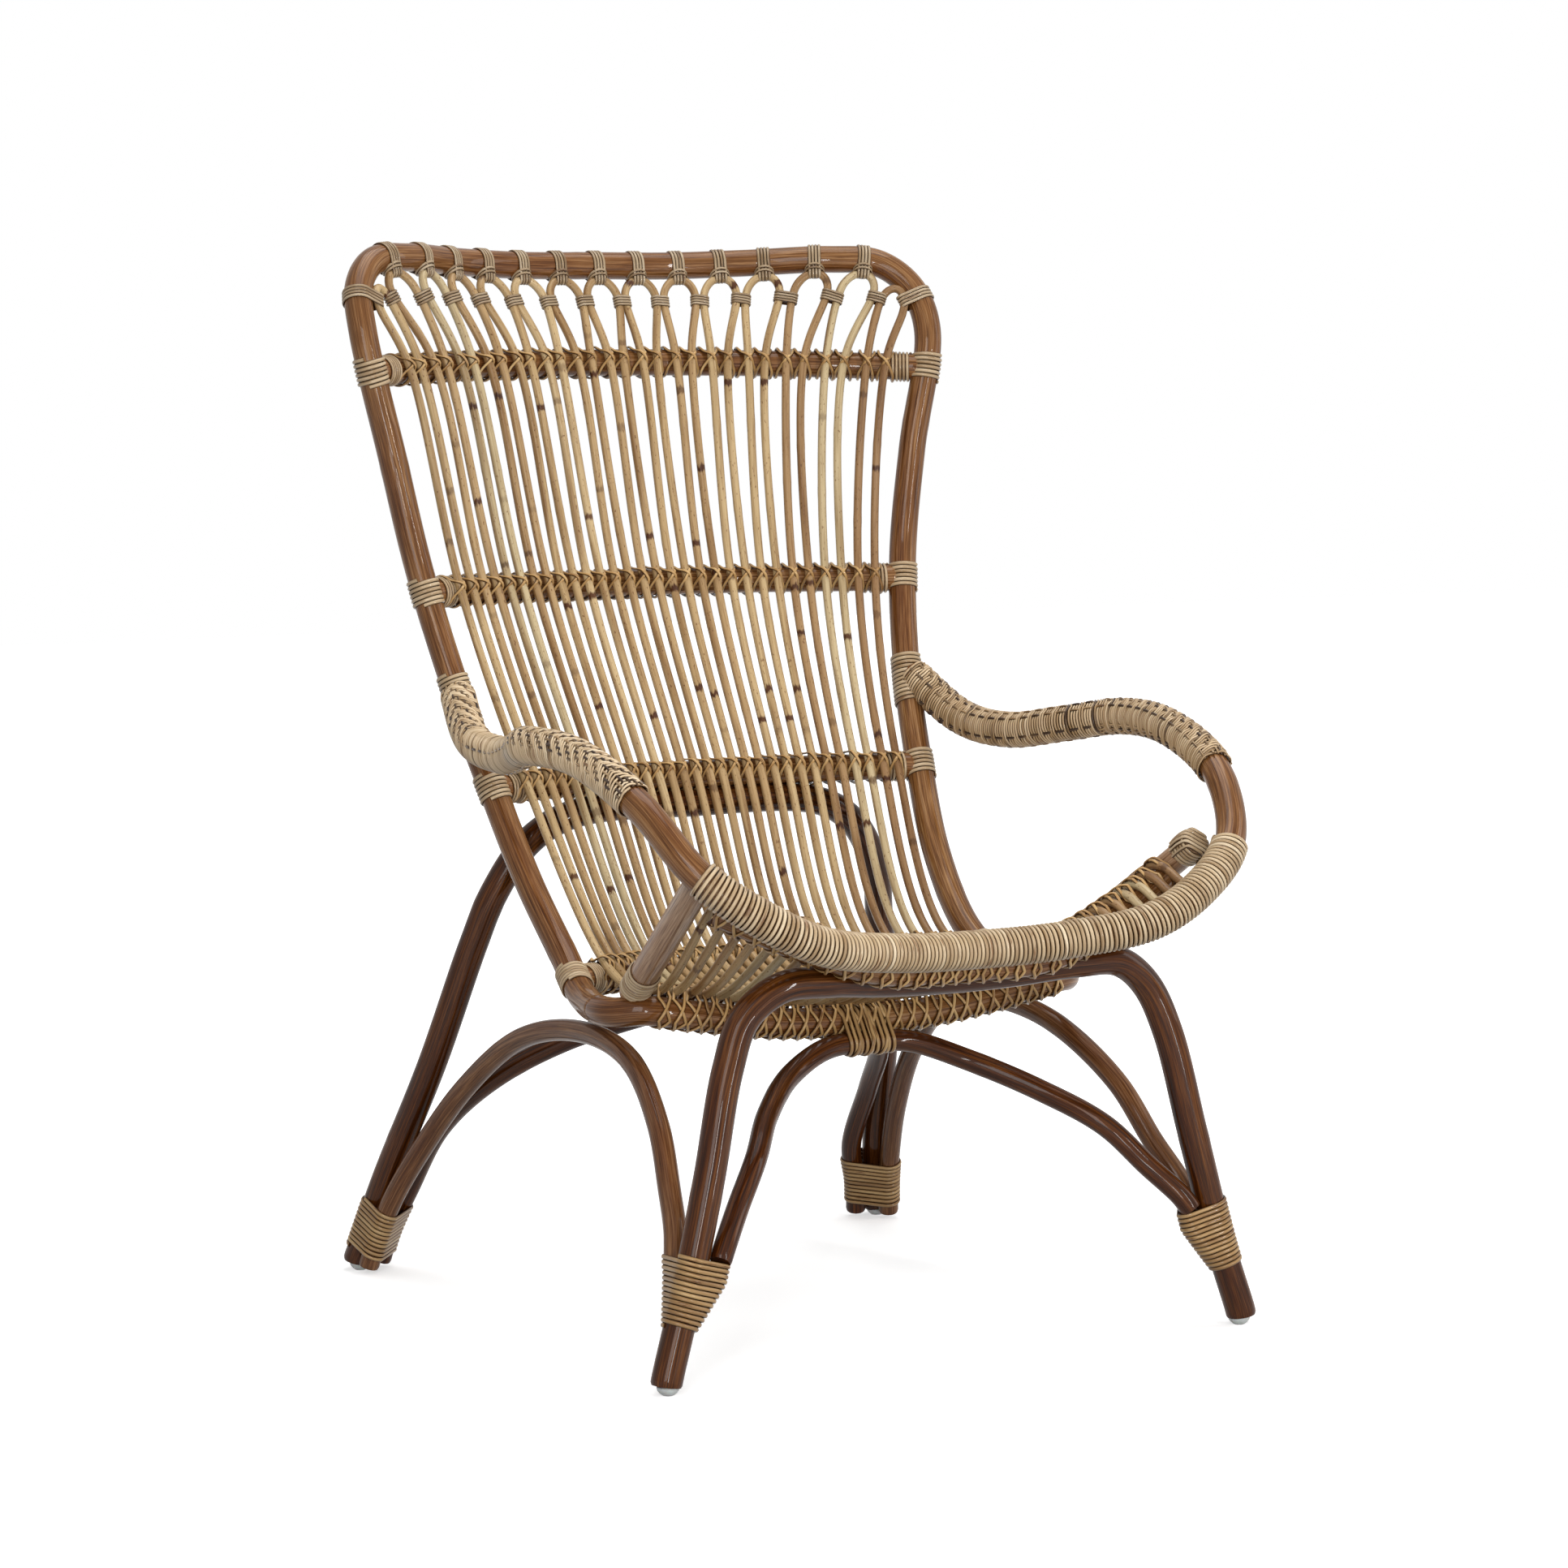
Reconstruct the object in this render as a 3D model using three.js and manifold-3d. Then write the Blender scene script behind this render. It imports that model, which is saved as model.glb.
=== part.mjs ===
// A high-backed lounge armchair of bent rattan poles, with a back and seat of hairpin rods.
// Millimetres, +Z up. The sitter faces -Y and the chair is the same on both sides of X = 0.
import * as THREE from 'three';
import { mergeVertices } from 'three/addons/utils/BufferGeometryUtils.js';
import Module from 'manifold-3d';

const at = (x, y, z) => new THREE.Vector3(x, y, z);

// Pole, rod and strand sizes
const poleRadius = 14;
const barRadius = 13.5;
const strutRadius = 13.5;
const hoopRadius = 14.5;
const wrapRadius = 18;
const weaveRadius = 18.5;
const rimRadius = 14;
const legRadius = 14.5;
const archRadius = 10.5;
const rodRadius = 4.25;
const caneWidth = 3.4;
const caneThickness = 1.6;
const canePitch = 4.4;

// Gap kept between pieces that touch
const clearance = 0.3;

// Room left inside a strand that goes round several leaning poles
const bundleRoom = 1;

// Back frame, right half: top rail, shoulder, post and the sweep forward to the seat corner
const railMiddle = at(0, 424, 1007);
const railQuarter = at(85, 419, 1007);
const railOuter = at(165, 400, 1010);
const railEnd = at(243, 357, 1014);
const cornerTop = at(290, 337, 1010);
const cornerSide = at(317, 314, 984);
const shoulder = at(323, 292, 940);
const postHigh = at(298, 281, 820);
const postUpper = at(277, 265, 708);
const postWaist = at(258, 226, 596);
const postLower = at(244, 179, 505);
const postLow = at(232, 123, 415);
const postSweep = at(227, 55, 346);
const postFoot = at(236, 0, 316);
const spliceDepth = -56;

// Lower seat hoop, right half, from the middle of its front to the corner at the splice
const lowerMiddle = at(0, -110, 290);
const lowerQuarter = at(90, -111, 295);
const lowerOuter = at(170, -113, 307);
const lowerTurn = at(229, -108, 316);
const lowerCorner = at(250, -84, 313);

// Arm hoop, right half, from the middle of the front edge to the post, with a last step from the joint
const edgeMiddle = at(0, -318, 382);
const edgeQuarter = at(91, -328, 386);
const edgeOuter = at(178, -344, 400);
const edgeTurn = at(237, -338, 428);
const edgeRise = at(285, -315, 465);
const armDrop = at(312, -257, 522);
const armFront = at(323, -160, 559);
const armElbow = at(327, -68, 564);
const armMiddle = at(303, -2, 553);
const armRear = at(285, 71, 542);
const armClimbStep = at(19.3, -75, -44);
const armBindingTurns = 11;
const weaveFrontDepth = -247;
const wrapStartDepth = -314;

// Crossbars: where the ends lie on the posts, how far the middle bows back and how far it rises
// The top one hangs below the rail, and the seat one lies at a depth on the sweep
const barTop = { below: 105, bow: 105, rise: 6 };
const barMiddle = { height: 686, bow: 60, rise: 0 };
const barLower = { height: 499, bow: 36, rise: 0 };
const barSeat = { depth: 28.5, bow: 68, rise: -8 };
const barBindingTurns = 5;

// The arm joins the post above the lower crossbar
const armBindingAbove = 83;
const armJointAbove = 12;
const armBindingHeight = barLower.height + armBindingAbove;
const armJointHeight = armBindingHeight + armJointAbove;

// Hairpins: one in the middle and seven on each side
const hairpinsPerSide = 7;
const loopSpacing = 45.8;
const loopHalfWidth = 17.4;
const loopHeight = 30;
const loopDrop = 28;
const cornerLoopHalfWidth = 13;
const cornerLoopHeight = 22;
const cornerInward = at(-0.3, -0.66, -0.69);
const cornerRun = at(0.75, -0.6, -0.25);
const topRodSpacing = 18.9;
const topHairpinSpread = 17;
const middleRodSpacing = 16.4;
const lowerRodSpacing = 14.6;
const seatRodSpacing = 13.3;
const hoopRodSpacing = 14.6;

// Front rim rail: how steeply it hangs below the inside of the front edge in the middle, the steps by
// which it draws back from the edge towards its ends, its half length, and the room past the last rod
const rimHang = 35;
const rimOuterStep = at(0, 53, -2.5);
const rimTurnStep = at(0, 64.5, -3.5);
const rimRiseStep = at(0, 62, -16);
const rimHalfWidth = 244;
const rimEndRoom = 13.5;
const rimRodSpacing = (rimHalfWidth - rimEndRoom) / (2 * hairpinsPerSide + 0.5);

// Room between the wrapped edge and the rods that end at it, and under their bend over the rim rail
const rodEndRoom = 2;
const rodBendRoom = 3.3;

// Seat struts, from the top of the lower hoop to the inside of the arm hoop
const strutBottom = at(233, -90, 328);
const strutTop = at(266, -292, 466);
const strutBindingTurns = 5;
const strutBindingRise = 24;

// Front leg arch, right half: the bar hangs behind the rim rail
const frontBarSlope = 29;
const frontBarQuarter = at(70, -270, 351.5);
const frontBarOuter = at(136, -281, 357);
const frontBend = at(182, -281, 355);
const frontKnee = at(217, -277, 330);
const frontShin = at(238, -282, 285);
const frontCalf = at(262, -290, 188);
const frontAnkle = at(291, -296, 78);
const frontFoot = at(310, -301, 18);

// Rear leg arch, right half: the bar lies under the lower crossbar, and the bend is set out from its end
const rearBarOuterStep = at(-103, 30.5, -33);
const rearBendStep = at(-57, 35.5, -58);
const rearKneeStep = at(-25, 46.5, -107);
const rearShinStep = at(-10, 62.5, -158);
const rearCalf = at(262, 274, 219);
const rearAnkle = at(286, 331, 98);
const rearFoot = at(303, 359, 18);

// Side arch, right, from the rear foot to the front foot
const sideRearRise = at(276, 273, 132);
const sideRearBend = at(258, 211, 201);
const sideRearTop = at(242, 123, 260);
const sideTop = at(232, 16, 281);
const sideFrontTop = at(236, -93, 268);
const sideFrontBend = at(252, -177, 220);
const sideFrontRise = at(267, -230, 150);

// Front arch and rear arch, right half
const frontArchSlope = 46;
const frontArchQuarter = at(45, -131, 270);
const frontArchOuter = at(97, -151, 251);
const frontArchBend = at(149, -198, 224);
const frontArchShin = at(190, -248, 194);
const frontArchAnkle = at(223, -273, 156);
const rearArchSlope = 57;
const rearArchQuarter = at(91, 132, 274);
const rearArchOuter = at(168, 166, 248);
const rearArchBend = at(220, 216, 209);
const rearArchShin = at(248, 284, 152);
const archLashingTurns = 8;
const archLashingPitch = 6.6;

// Feet: the wraps that bind three poles, and the glides
const frontWrapBottom = 58;
const frontWrapTurns = 14;
const frontArchEnd = 103;
const rearWrapBottom = 24;
const rearWrapTurns = 11;
const rearArchEnd = 7;
const archSpread = 1.2;
const glideHeight = 8;
const glideRadius = 10.5;
const glideFootRadius = 5.5;
const footLevel = 10;

// How finely round things are faceted
const poleSides = 8;
const thinPoleSides = 7;
const rodSides = 5;
const glideSides = 8;
const poleSteps = 2;
const barSteps = 10;
const rodSteps = 2;
const loopSteps = 3;
const seatingPasses = 3;
const woundSteps = 7;
const legArcs = 4;
const archArcs = 2;
const lashingArcs = 4;
const roomSides = 10;
const weldDistance = 1e-3;

const wasm = await Module();
wasm.setup();

const chair = new THREE.Group();

const stainedPole = new THREE.MeshStandardMaterial({ color: 0x5a331c, roughness: 0.32, metalness: 0 });
const paleRod = new THREE.MeshStandardMaterial({ color: 0xb08a56, roughness: 0.45, metalness: 0 });
const goldenCane = new THREE.MeshStandardMaterial({ color: 0xa9814c, roughness: 0.4, metalness: 0 });
const paleWeave = new THREE.MeshStandardMaterial({ color: 0xbfa67c, roughness: 0.5, metalness: 0 });
const clearPlastic = new THREE.MeshStandardMaterial({ color: 0xe4e2dc, roughness: 0.35, metalness: 0 });

function addPiece(name, geometry, material) {
  const piece = new THREE.Mesh(geometry, material);
  piece.name = name;
  chair.add(piece);
}

const mirrored = (point) => at(-point.x, point.y, point.z);

// The left half, reversed, then the right half: a list that runs from the middle outwards becomes a whole
function bothSides(half) {
  return [...half.slice(1).reverse().map(mirrored), ...half];
}

// A smooth bend through the points, cut into straight steps between each two
function bend(points, steps) {
  const curve = new THREE.CatmullRomCurve3(points, false, 'centripetal');
  return curve.getPoints(steps * (points.length - 1));
}

// A path that turns only at its own points, so that a tube has one ring at each
class Route extends THREE.Curve {
  constructor(points) {
    super();
    this.points = points;
  }

  getUtoTmapping(u) {
    return u;
  }

  getPoint(t, target = new THREE.Vector3()) {
    const last = this.points.length - 1;
    const place = THREE.MathUtils.clamp(t, 0, 1) * last;
    const index = Math.min(Math.floor(place), last - 1);
    return target.lerpVectors(this.points[index], this.points[index + 1], place - index);
  }
}

function ringPoints(radius, sides) {
  const points = [];
  for (let side = 0; side < sides; side += 1) {
    const angle = (2 * Math.PI * (side + 0.5)) / sides;
    points.push(new THREE.Vector2(radius * Math.cos(angle), radius * Math.sin(angle)));
  }
  return points;
}

// A section swept along a route, square to it at each ring
function sweep(section, points) {
  const extrudePath = new Route(points);
  const steps = points.length - 1;
  return new THREE.ExtrudeGeometry(section, { extrudePath, steps, bevelEnabled: false });
}

function tube(points, radius, sides) {
  const section = new THREE.Shape(ringPoints(radius, sides));
  return sweep(section, points);
}

function sleeve(points, radius, bore, sides) {
  const section = new THREE.Shape(ringPoints(radius, sides));
  section.holes.push(new THREE.Path(ringPoints(bore, sides)));
  return sweep(section, points);
}

function toSolid(geometry) {
  const bare = geometry.clone();
  bare.deleteAttribute('normal');
  bare.deleteAttribute('uv');
  const merged = mergeVertices(bare, weldDistance);
  const vertProperties = new Float32Array(merged.attributes.position.array);
  const triVerts = new Uint32Array(merged.index.array);
  return new wasm.Manifold(new wasm.Mesh({ numProp: 3, vertProperties, triVerts }));
}

function cut(geometry, cutters) {
  let solid = toSolid(geometry);
  for (const cutter of cutters) {
    solid = solid.subtract(toSolid(cutter));
  }
  const mesh = solid.getMesh();
  const result = new THREE.BufferGeometry();
  result.setAttribute('position', new THREE.BufferAttribute(new Float32Array(mesh.vertProperties), 3));
  result.setIndex(new THREE.BufferAttribute(new Uint32Array(mesh.triVerts), 1));
  result.computeVertexNormals();
  return result;
}

// The place on a route where one coordinate takes a value, counted from the first crossing
function placeWhere(points, axis, value) {
  for (let index = 0; index < points.length - 1; index += 1) {
    const before = points[index][axis] - value;
    const after = points[index + 1][axis] - value;
    if (before === 0 || before * after < 0) {
      const share = before / (before - after);
      return { index, point: points[index].clone().lerp(points[index + 1], share) };
    }
  }
  throw new Error(`no place on the route where ${axis} is ${value}`);
}

const pointWhere = (points, axis, value) => placeWhere(points, axis, value).point;

// The stretch of a route between two places on it
function stretch(points, from, to) {
  return [from.point, ...points.slice(from.index + 1, to.index + 1), to.point];
}

function directionAt(points, index) {
  const before = points[Math.max(index - 1, 0)];
  const after = points[Math.min(index + 1, points.length - 1)];
  return after.clone().sub(before).normalize();
}

// What is left of a direction when its share along another is taken out
function square(direction, to) {
  return direction.clone().addScaledVector(to, -direction.dot(to)).normalize();
}

// The point at a distance along a route
function along(points, distance) {
  let left = distance;
  let index = 0;
  while (index < points.length - 2 && left > points[index].distanceTo(points[index + 1])) {
    left -= points[index].distanceTo(points[index + 1]);
    index += 1;
  }
  const direction = points[index + 1].clone().sub(points[index]).normalize();
  return points[index].clone().addScaledVector(direction, left);
}

function distanceTo(points, place) {
  let distance = points[place.index].distanceTo(place.point);
  for (let index = 0; index < place.index; index += 1) {
    distance += points[index].distanceTo(points[index + 1]);
  }
  return distance;
}

// One unbroken strand. place(turn) gives its seat, the way out of the pole and the way along it
function wind(name, turns, steps, place) {
  const rings = [];
  for (let step = 0; step <= turns * steps; step += 1) {
    const { seat, out, forward } = place(step / steps);
    rings.push([
      seat.clone().addScaledVector(forward, caneWidth / 2),
      seat.clone().addScaledVector(forward, -caneWidth / 2),
      seat.clone().addScaledVector(out, caneThickness),
    ]);
  }
  const [first, second, ridge] = rings[0];
  const facing = second.clone().sub(first).cross(ridge.clone().sub(first));
  if (facing.dot(rings[1][0].clone().sub(first)) < 0) {
    rings.forEach((ring) => ring.reverse());
  }
  let leastGap = Infinity;
  for (let ring = 0; ring + steps < rings.length; ring += 1) {
    for (const here of rings[ring]) {
      for (const next of rings[ring + steps]) {
        leastGap = Math.min(leastGap, here.distanceTo(next));
      }
    }
  }
  console.log(`${name}: least gap between turns ${leastGap.toFixed(2)} mm`);
  const corners = rings[0].length;
  const indices = [];
  for (let ring = 0; ring < rings.length - 1; ring += 1) {
    for (let corner = 0; corner < corners; corner += 1) {
      const a = ring * corners + corner;
      const b = ring * corners + ((corner + 1) % corners);
      indices.push(a, b, a + corners, b, b + corners, a + corners);
    }
  }
  const last = (rings.length - 1) * corners;
  indices.push(0, 2, 1, last, last + 1, last + 2);
  const geometry = new THREE.BufferGeometry().setFromPoints(rings.flat());
  geometry.setIndex(indices);
  geometry.computeVertexNormals();
  addPiece(name, geometry, goldenCane);
}

// The seat radius that keeps the straight steps of a strand clear of the pole inside them
const seatRadius = (radius, steps) => (radius + clearance) / Math.cos(Math.PI / steps);
const woundRadius = (radius) => seatRadius(radius, woundSteps) + caneThickness;

// The same strand on the right and, mirrored, on the left
function windBothSides(name, turns, steps, place) {
  wind(`${name}_right`, turns, steps, place);
  wind(`${name}_left`, turns, steps, (turn) => {
    const { seat, out, forward } = place(turn);
    return { seat: mirrored(seat), out: mirrored(out), forward: mirrored(forward) };
  });
}

// A strand round a pole on each side, from a distance along the right one's route
function windPoles(name, points, radius, start, turns) {
  const seatAt = seatRadius(radius, woundSteps);
  windBothSides(name, turns, woundSteps, (turn) => {
    const distance = start + turn * canePitch;
    const point = along(points, distance);
    const direction = along(points, distance + radius).sub(along(points, distance - radius)).normalize();
    const side = square(at(1, 0, 0), direction);
    const across = direction.clone().cross(side);
    const angle = 2 * Math.PI * turn;
    const out = side.multiplyScalar(Math.cos(angle)).addScaledVector(across, Math.sin(angle));
    return { seat: point.addScaledVector(out, seatAt), out, forward: direction };
  });
}

// The angle of the line that touches two neighbouring discs of a bundle on its outside
function touchAngle(disc, next) {
  const gap = Math.hypot(next.u - disc.u, next.v - disc.v);
  const heading = Math.atan2(next.v - disc.v, next.u - disc.u);
  return heading - Math.PI / 2 + Math.asin((disc.radius - next.radius) / gap);
}

// The stops of a strand round a bundle of poles, an arc round each in turn and a straight run to the next
// discsAt(turn) gives the round sections in order, seen in the plane of the two given axes
function aroundBundle(arcs, discsAt, axisU, axisV) {
  const forward = axisU.clone().cross(axisV);
  const stops = [];
  arcs.forEach((steps, disc) => {
    for (let step = 0; step <= steps; step += 1) {
      stops.push({ disc, share: step / steps, steps });
    }
  });
  const place = (turn) => {
    const stop = stops[Math.round(turn * stops.length) % stops.length];
    const discs = discsAt(turn).map((disc) => {
      return { ...disc, u: disc.centre.dot(axisU), v: disc.centre.dot(axisV) };
    });
    const disc = discs[stop.disc];
    const start = touchAngle(discs[(stop.disc + discs.length - 1) % discs.length], disc);
    const end = touchAngle(disc, discs[(stop.disc + 1) % discs.length]);
    const span = THREE.MathUtils.euclideanModulo(end - start, 2 * Math.PI);
    const angle = start + span * stop.share;
    const out = axisU.clone().multiplyScalar(Math.cos(angle)).addScaledVector(axisV, Math.sin(angle));
    const reach = (disc.radius + bundleRoom) / Math.cos(span / stop.steps / 2);
    return { seat: disc.centre.clone().addScaledVector(out, reach), out, forward };
  };
  return { steps: stops.length, place };
}

// Back frame and lower seat hoop: one loop, parted at the splices
const loopHalf = [
  railMiddle, railQuarter, railOuter, railEnd, cornerTop, cornerSide, shoulder, postHigh, postUpper,
  postWaist, postLower, postLow, postSweep, postFoot, lowerCorner, lowerTurn, lowerOuter, lowerQuarter,
  lowerMiddle,
];
const seatLoop = bend(bothSides(loopHalf), poleSteps);
const rightLoop = seatLoop.slice(Math.floor(seatLoop.length / 2));
const spliceFrame = placeWhere(rightLoop, 'y', spliceDepth);
const spliceHoop = placeWhere(rightLoop, 'y', spliceDepth - clearance);
const rightPost = stretch(rightLoop, { index: 0, point: rightLoop[0] }, spliceFrame);
const frame = bothSides(rightPost);
addPiece('back_frame', tube(frame, poleRadius, poleSides), stainedPole);

const loopEnd = { index: rightLoop.length - 2, point: rightLoop[rightLoop.length - 1] };
const lowerHoop = bothSides(stretch(rightLoop, spliceHoop, loopEnd).reverse());
addPiece('lower_seat_hoop', tube(lowerHoop, poleRadius, poleSides), stainedPole);

// The room that a wound post takes up, which the ends of other poles are hollowed by
const roomRadius = (woundRadius(poleRadius) + clearance) / Math.cos(Math.PI / roomSides);

function postRoom(place, halfLength) {
  const middle = distanceTo(rightPost, place);
  const points = [];
  for (let step = -barSteps / 2; step <= barSteps / 2; step += 1) {
    points.push(along(rightPost, middle + (halfLength * 2 * step) / barSteps));
  }
  const right = tube(points, roomRadius, roomSides);
  const left = tube(points.map(mirrored), roomRadius, roomSides);
  return { right, left };
}

// A strand round both posts, centred on a place
function windPosts(name, place, turns) {
  const start = distanceTo(rightPost, place) - (turns * canePitch) / 2;
  windPoles(name, rightPost, poleRadius, start, turns);
}

// Crossbars bow back between the posts, their ends hollowed to the bindings
function crossbar(name, bar, place) {
  const end = place.point;
  const points = [];
  for (let step = -barSteps / 2; step <= barSteps / 2; step += 1) {
    const x = (end.x * 2 * step) / barSteps;
    const share = 1 - (x / end.x) ** 2;
    points.push(at(x, end.y + bar.bow * share, end.z + bar.rise * share));
  }
  const room = postRoom(place, 4 * barRadius);
  addPiece(`crossbar_${name}`, cut(tube(points, barRadius, poleSides), [room.right, room.left]), stainedPole);
  windPosts(`bar_binding_${name}`, place, barBindingTurns);
  return points;
}

const lowerPlace = placeWhere(rightPost, 'z', barLower.height);
const topBar = crossbar('top', barTop, placeWhere(rightPost, 'z', railMiddle.z - barTop.below));
const middleBar = crossbar('middle', barMiddle, placeWhere(rightPost, 'z', barMiddle.height));
const lowerBar = crossbar('lower', barLower, lowerPlace);
const seatBar = crossbar('seat', barSeat, placeWhere(rightPost, 'y', barSeat.depth));

// Arm hoop, its woven covers and the wrap of its front edge
const armJoint = pointWhere(rightPost, 'z', armJointHeight);
const hoopHalf = [
  edgeMiddle, edgeQuarter, edgeOuter, edgeTurn, edgeRise, armDrop, armFront, armElbow, armMiddle,
  armRear, armJoint.clone().add(armClimbStep), armJoint,
];
const hoop = bend(bothSides(hoopHalf), poleSteps);
const rightArm = hoop.slice(Math.floor(hoop.length / 2));
const jointPlace = placeWhere(rightPost, 'z', armJointHeight);
const jointRoom = postRoom(jointPlace, 4 * weaveRadius);
const armHoop = cut(tube(hoop, hoopRadius, poleSides), [jointRoom.right, jointRoom.left]);
addPiece('arm_hoop', armHoop, stainedPole);
windPosts('arm_binding', placeWhere(rightPost, 'z', armBindingHeight), armBindingTurns);

const weaveFrom = placeWhere(rightArm, 'y', weaveFrontDepth);
const weaveTo = { index: rightArm.length - 2, point: rightArm[rightArm.length - 1] };
const weaveRoute = stretch(rightArm, weaveFrom, weaveTo);
const weaveBore = (hoopRadius + clearance) / Math.cos(Math.PI / poleSides);
const rightWeave = sleeve(weaveRoute, weaveRadius, weaveBore, poleSides);
const leftWeave = sleeve(weaveRoute.map(mirrored), weaveRadius, weaveBore, poleSides);
addPiece('arm_weave_right', cut(rightWeave, [jointRoom.right]), paleWeave);
addPiece('arm_weave_left', cut(leftWeave, [jointRoom.left]), paleWeave);

const risePlace = rightArm.findIndex((point) => point.x > edgeTurn.x);
const wrapEnd = placeWhere(rightArm.slice(risePlace), 'y', wrapStartDepth);
const wrapHalf = [...rightArm.slice(0, risePlace + wrapEnd.index + 1), wrapEnd.point];
const wrapRoute = bothSides(wrapHalf);
addPiece('front_wrap', sleeve(wrapRoute, wrapRadius, weaveBore, poleSides), goldenCane);

// Front rim rail, hung under the inside of the wrapped edge
const rimReach = wrapRadius + rimRadius + clearance;
const hang = THREE.MathUtils.degToRad(rimHang);
const hungStep = at(0, rimReach * Math.cos(hang), -rimReach * Math.sin(hang));
const rimPoints = [
  edgeMiddle.clone().add(hungStep), edgeQuarter.clone().add(hungStep), edgeOuter.clone().add(rimOuterStep),
  edgeTurn.clone().add(rimTurnStep), edgeRise.clone().add(rimRiseStep),
];
const rimRoute = bend(bothSides(rimPoints), poleSteps);
const rimHalf = rimRoute.slice(Math.floor(rimRoute.length / 2));
const rimEnd = placeWhere(rimHalf, 'x', rimHalfWidth);
const rim = bothSides(stretch(rimHalf, { index: 0, point: rimHalf[0] }, rimEnd));
addPiece('front_rim_rail', tube(rim, rimRadius, thinPoleSides), stainedPole);

// Seat struts, hollowed at both ends to sit on the hoops
const strutRoute = [strutBottom, strutTop];
const hoopRoom = tube(hoop, hoopRadius + clearance, poleSides * 2);
const wrapRoom = tube(wrapRoute, wrapRadius + clearance, poleSides * 2);
const lowerRoom = tube(lowerHoop, poleRadius + clearance, poleSides * 2);
for (const [side, route] of [['right', strutRoute], ['left', strutRoute.map(mirrored)]]) {
  const strut = cut(tube(route, strutRadius, poleSides), [hoopRoom, wrapRoom, lowerRoom]);
  addPiece(`seat_strut_${side}`, strut, stainedPole);
}
windPoles('strut_binding', strutRoute, strutRadius, strutBindingRise, strutBindingTurns);

// Front leg arch: its bar lies behind the rim rail
const frontBar = THREE.MathUtils.degToRad(frontBarSlope);
const frontBarReach = rimRadius + legRadius + clearance;
const rimMiddle = pointWhere(rim, 'x', 0);
const frontBarMiddle = rimMiddle.clone();
frontBarMiddle.y += frontBarReach * Math.cos(frontBar);
frontBarMiddle.z -= frontBarReach * Math.sin(frontBar);
const levelAt = (point, height) => at(point.x, point.y, height);
const legEnd = glideHeight + clearance;
const frontLegHalf = [
  frontBarMiddle, frontBarQuarter, frontBarOuter, frontBend, frontKnee, frontShin, frontCalf,
  frontAnkle, frontFoot,
];
const frontLeg = bend(bothSides(frontLegHalf), poleSteps);
frontLeg.push(levelAt(frontFoot, footLevel), levelAt(frontFoot, legEnd));
frontLeg.unshift(levelAt(mirrored(frontFoot), legEnd), levelAt(mirrored(frontFoot), footLevel));
addPiece('front_leg_arch', tube(frontLeg, legRadius, poleSides), stainedPole);

// Rear leg arch: its bar lies under the lower crossbar
const rearBarMiddle = pointWhere(lowerBar, 'x', 0).sub(at(0, 0, barRadius + legRadius + clearance));
const fromLowerBar = (step) => lowerPlace.point.clone().add(step);
const rearLegHalf = [
  rearBarMiddle, fromLowerBar(rearBarOuterStep), fromLowerBar(rearBendStep), fromLowerBar(rearKneeStep),
  fromLowerBar(rearShinStep), rearCalf, rearAnkle, rearFoot,
];
const rearLeg = bend(bothSides(rearLegHalf), poleSteps);
rearLeg.push(levelAt(rearFoot, footLevel), levelAt(rearFoot, legEnd));
rearLeg.unshift(levelAt(mirrored(rearFoot), legEnd), levelAt(mirrored(rearFoot), footLevel));
addPiece('rear_leg_arch', tube(rearLeg, legRadius, poleSides), stainedPole);

// Low arches: their ends stand beside the legs
const beside = legRadius + archRadius + clearance;
const frontLegRight = frontLeg.slice(Math.floor(frontLeg.length / 2));
const rearLegRight = rearLeg.slice(Math.floor(rearLeg.length / 2));
const frontWrapTop = frontWrapBottom + frontWrapTurns * canePitch;
const rearWrapTop = rearWrapBottom + rearWrapTurns * canePitch;
const behind = at(0, beside, 0);
const ahead = at(0, -beside, 0);
const inside = at(-beside, 0, 0);
const nextTo = (leg, height, offset) => pointWhere(leg, 'z', height).add(offset);

// The points of an arch that stands beside a rear leg, from the floor up, and beside a front leg, downwards
function besideRear(offset) {
  const middle = (rearArchEnd + rearWrapTop) / 2;
  return [
    levelAt(nextTo(rearLegRight, footLevel, offset), rearArchEnd),
    nextTo(rearLegRight, middle, offset),
    nextTo(rearLegRight, rearWrapTop + 2 * canePitch, offset.clone().multiplyScalar(archSpread)),
  ];
}

function besideFront(offset) {
  return [
    nextTo(frontLegRight, frontWrapTop + 2 * canePitch, offset.clone().multiplyScalar(archSpread)),
    nextTo(frontLegRight, frontArchEnd, offset),
  ];
}

const sidePoints = [
  ...besideRear(ahead), sideRearRise, sideRearBend, sideRearTop, sideTop, sideFrontTop, sideFrontBend,
  sideFrontRise, ...besideFront(behind),
];
const sideArch = bend(sidePoints, poleSteps);
addPiece('side_arch_right', tube(sideArch, archRadius, thinPoleSides), stainedPole);
addPiece('side_arch_left', tube(sideArch.map(mirrored), archRadius, thinPoleSides), stainedPole);

const frontArchLean = THREE.MathUtils.degToRad(frontArchSlope);
const frontArchReach = poleRadius + archRadius + clearance;
const frontArchMiddle = lowerMiddle.clone();
frontArchMiddle.y -= frontArchReach * Math.cos(frontArchLean);
frontArchMiddle.z -= frontArchReach * Math.sin(frontArchLean);
const frontArchHalf = [
  frontArchMiddle, frontArchQuarter, frontArchOuter, frontArchBend, frontArchShin, frontArchAnkle,
  ...besideFront(inside),
];
const frontArch = bend(bothSides(frontArchHalf), poleSteps);
addPiece('front_arch', tube(frontArch, archRadius, thinPoleSides), stainedPole);

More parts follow.
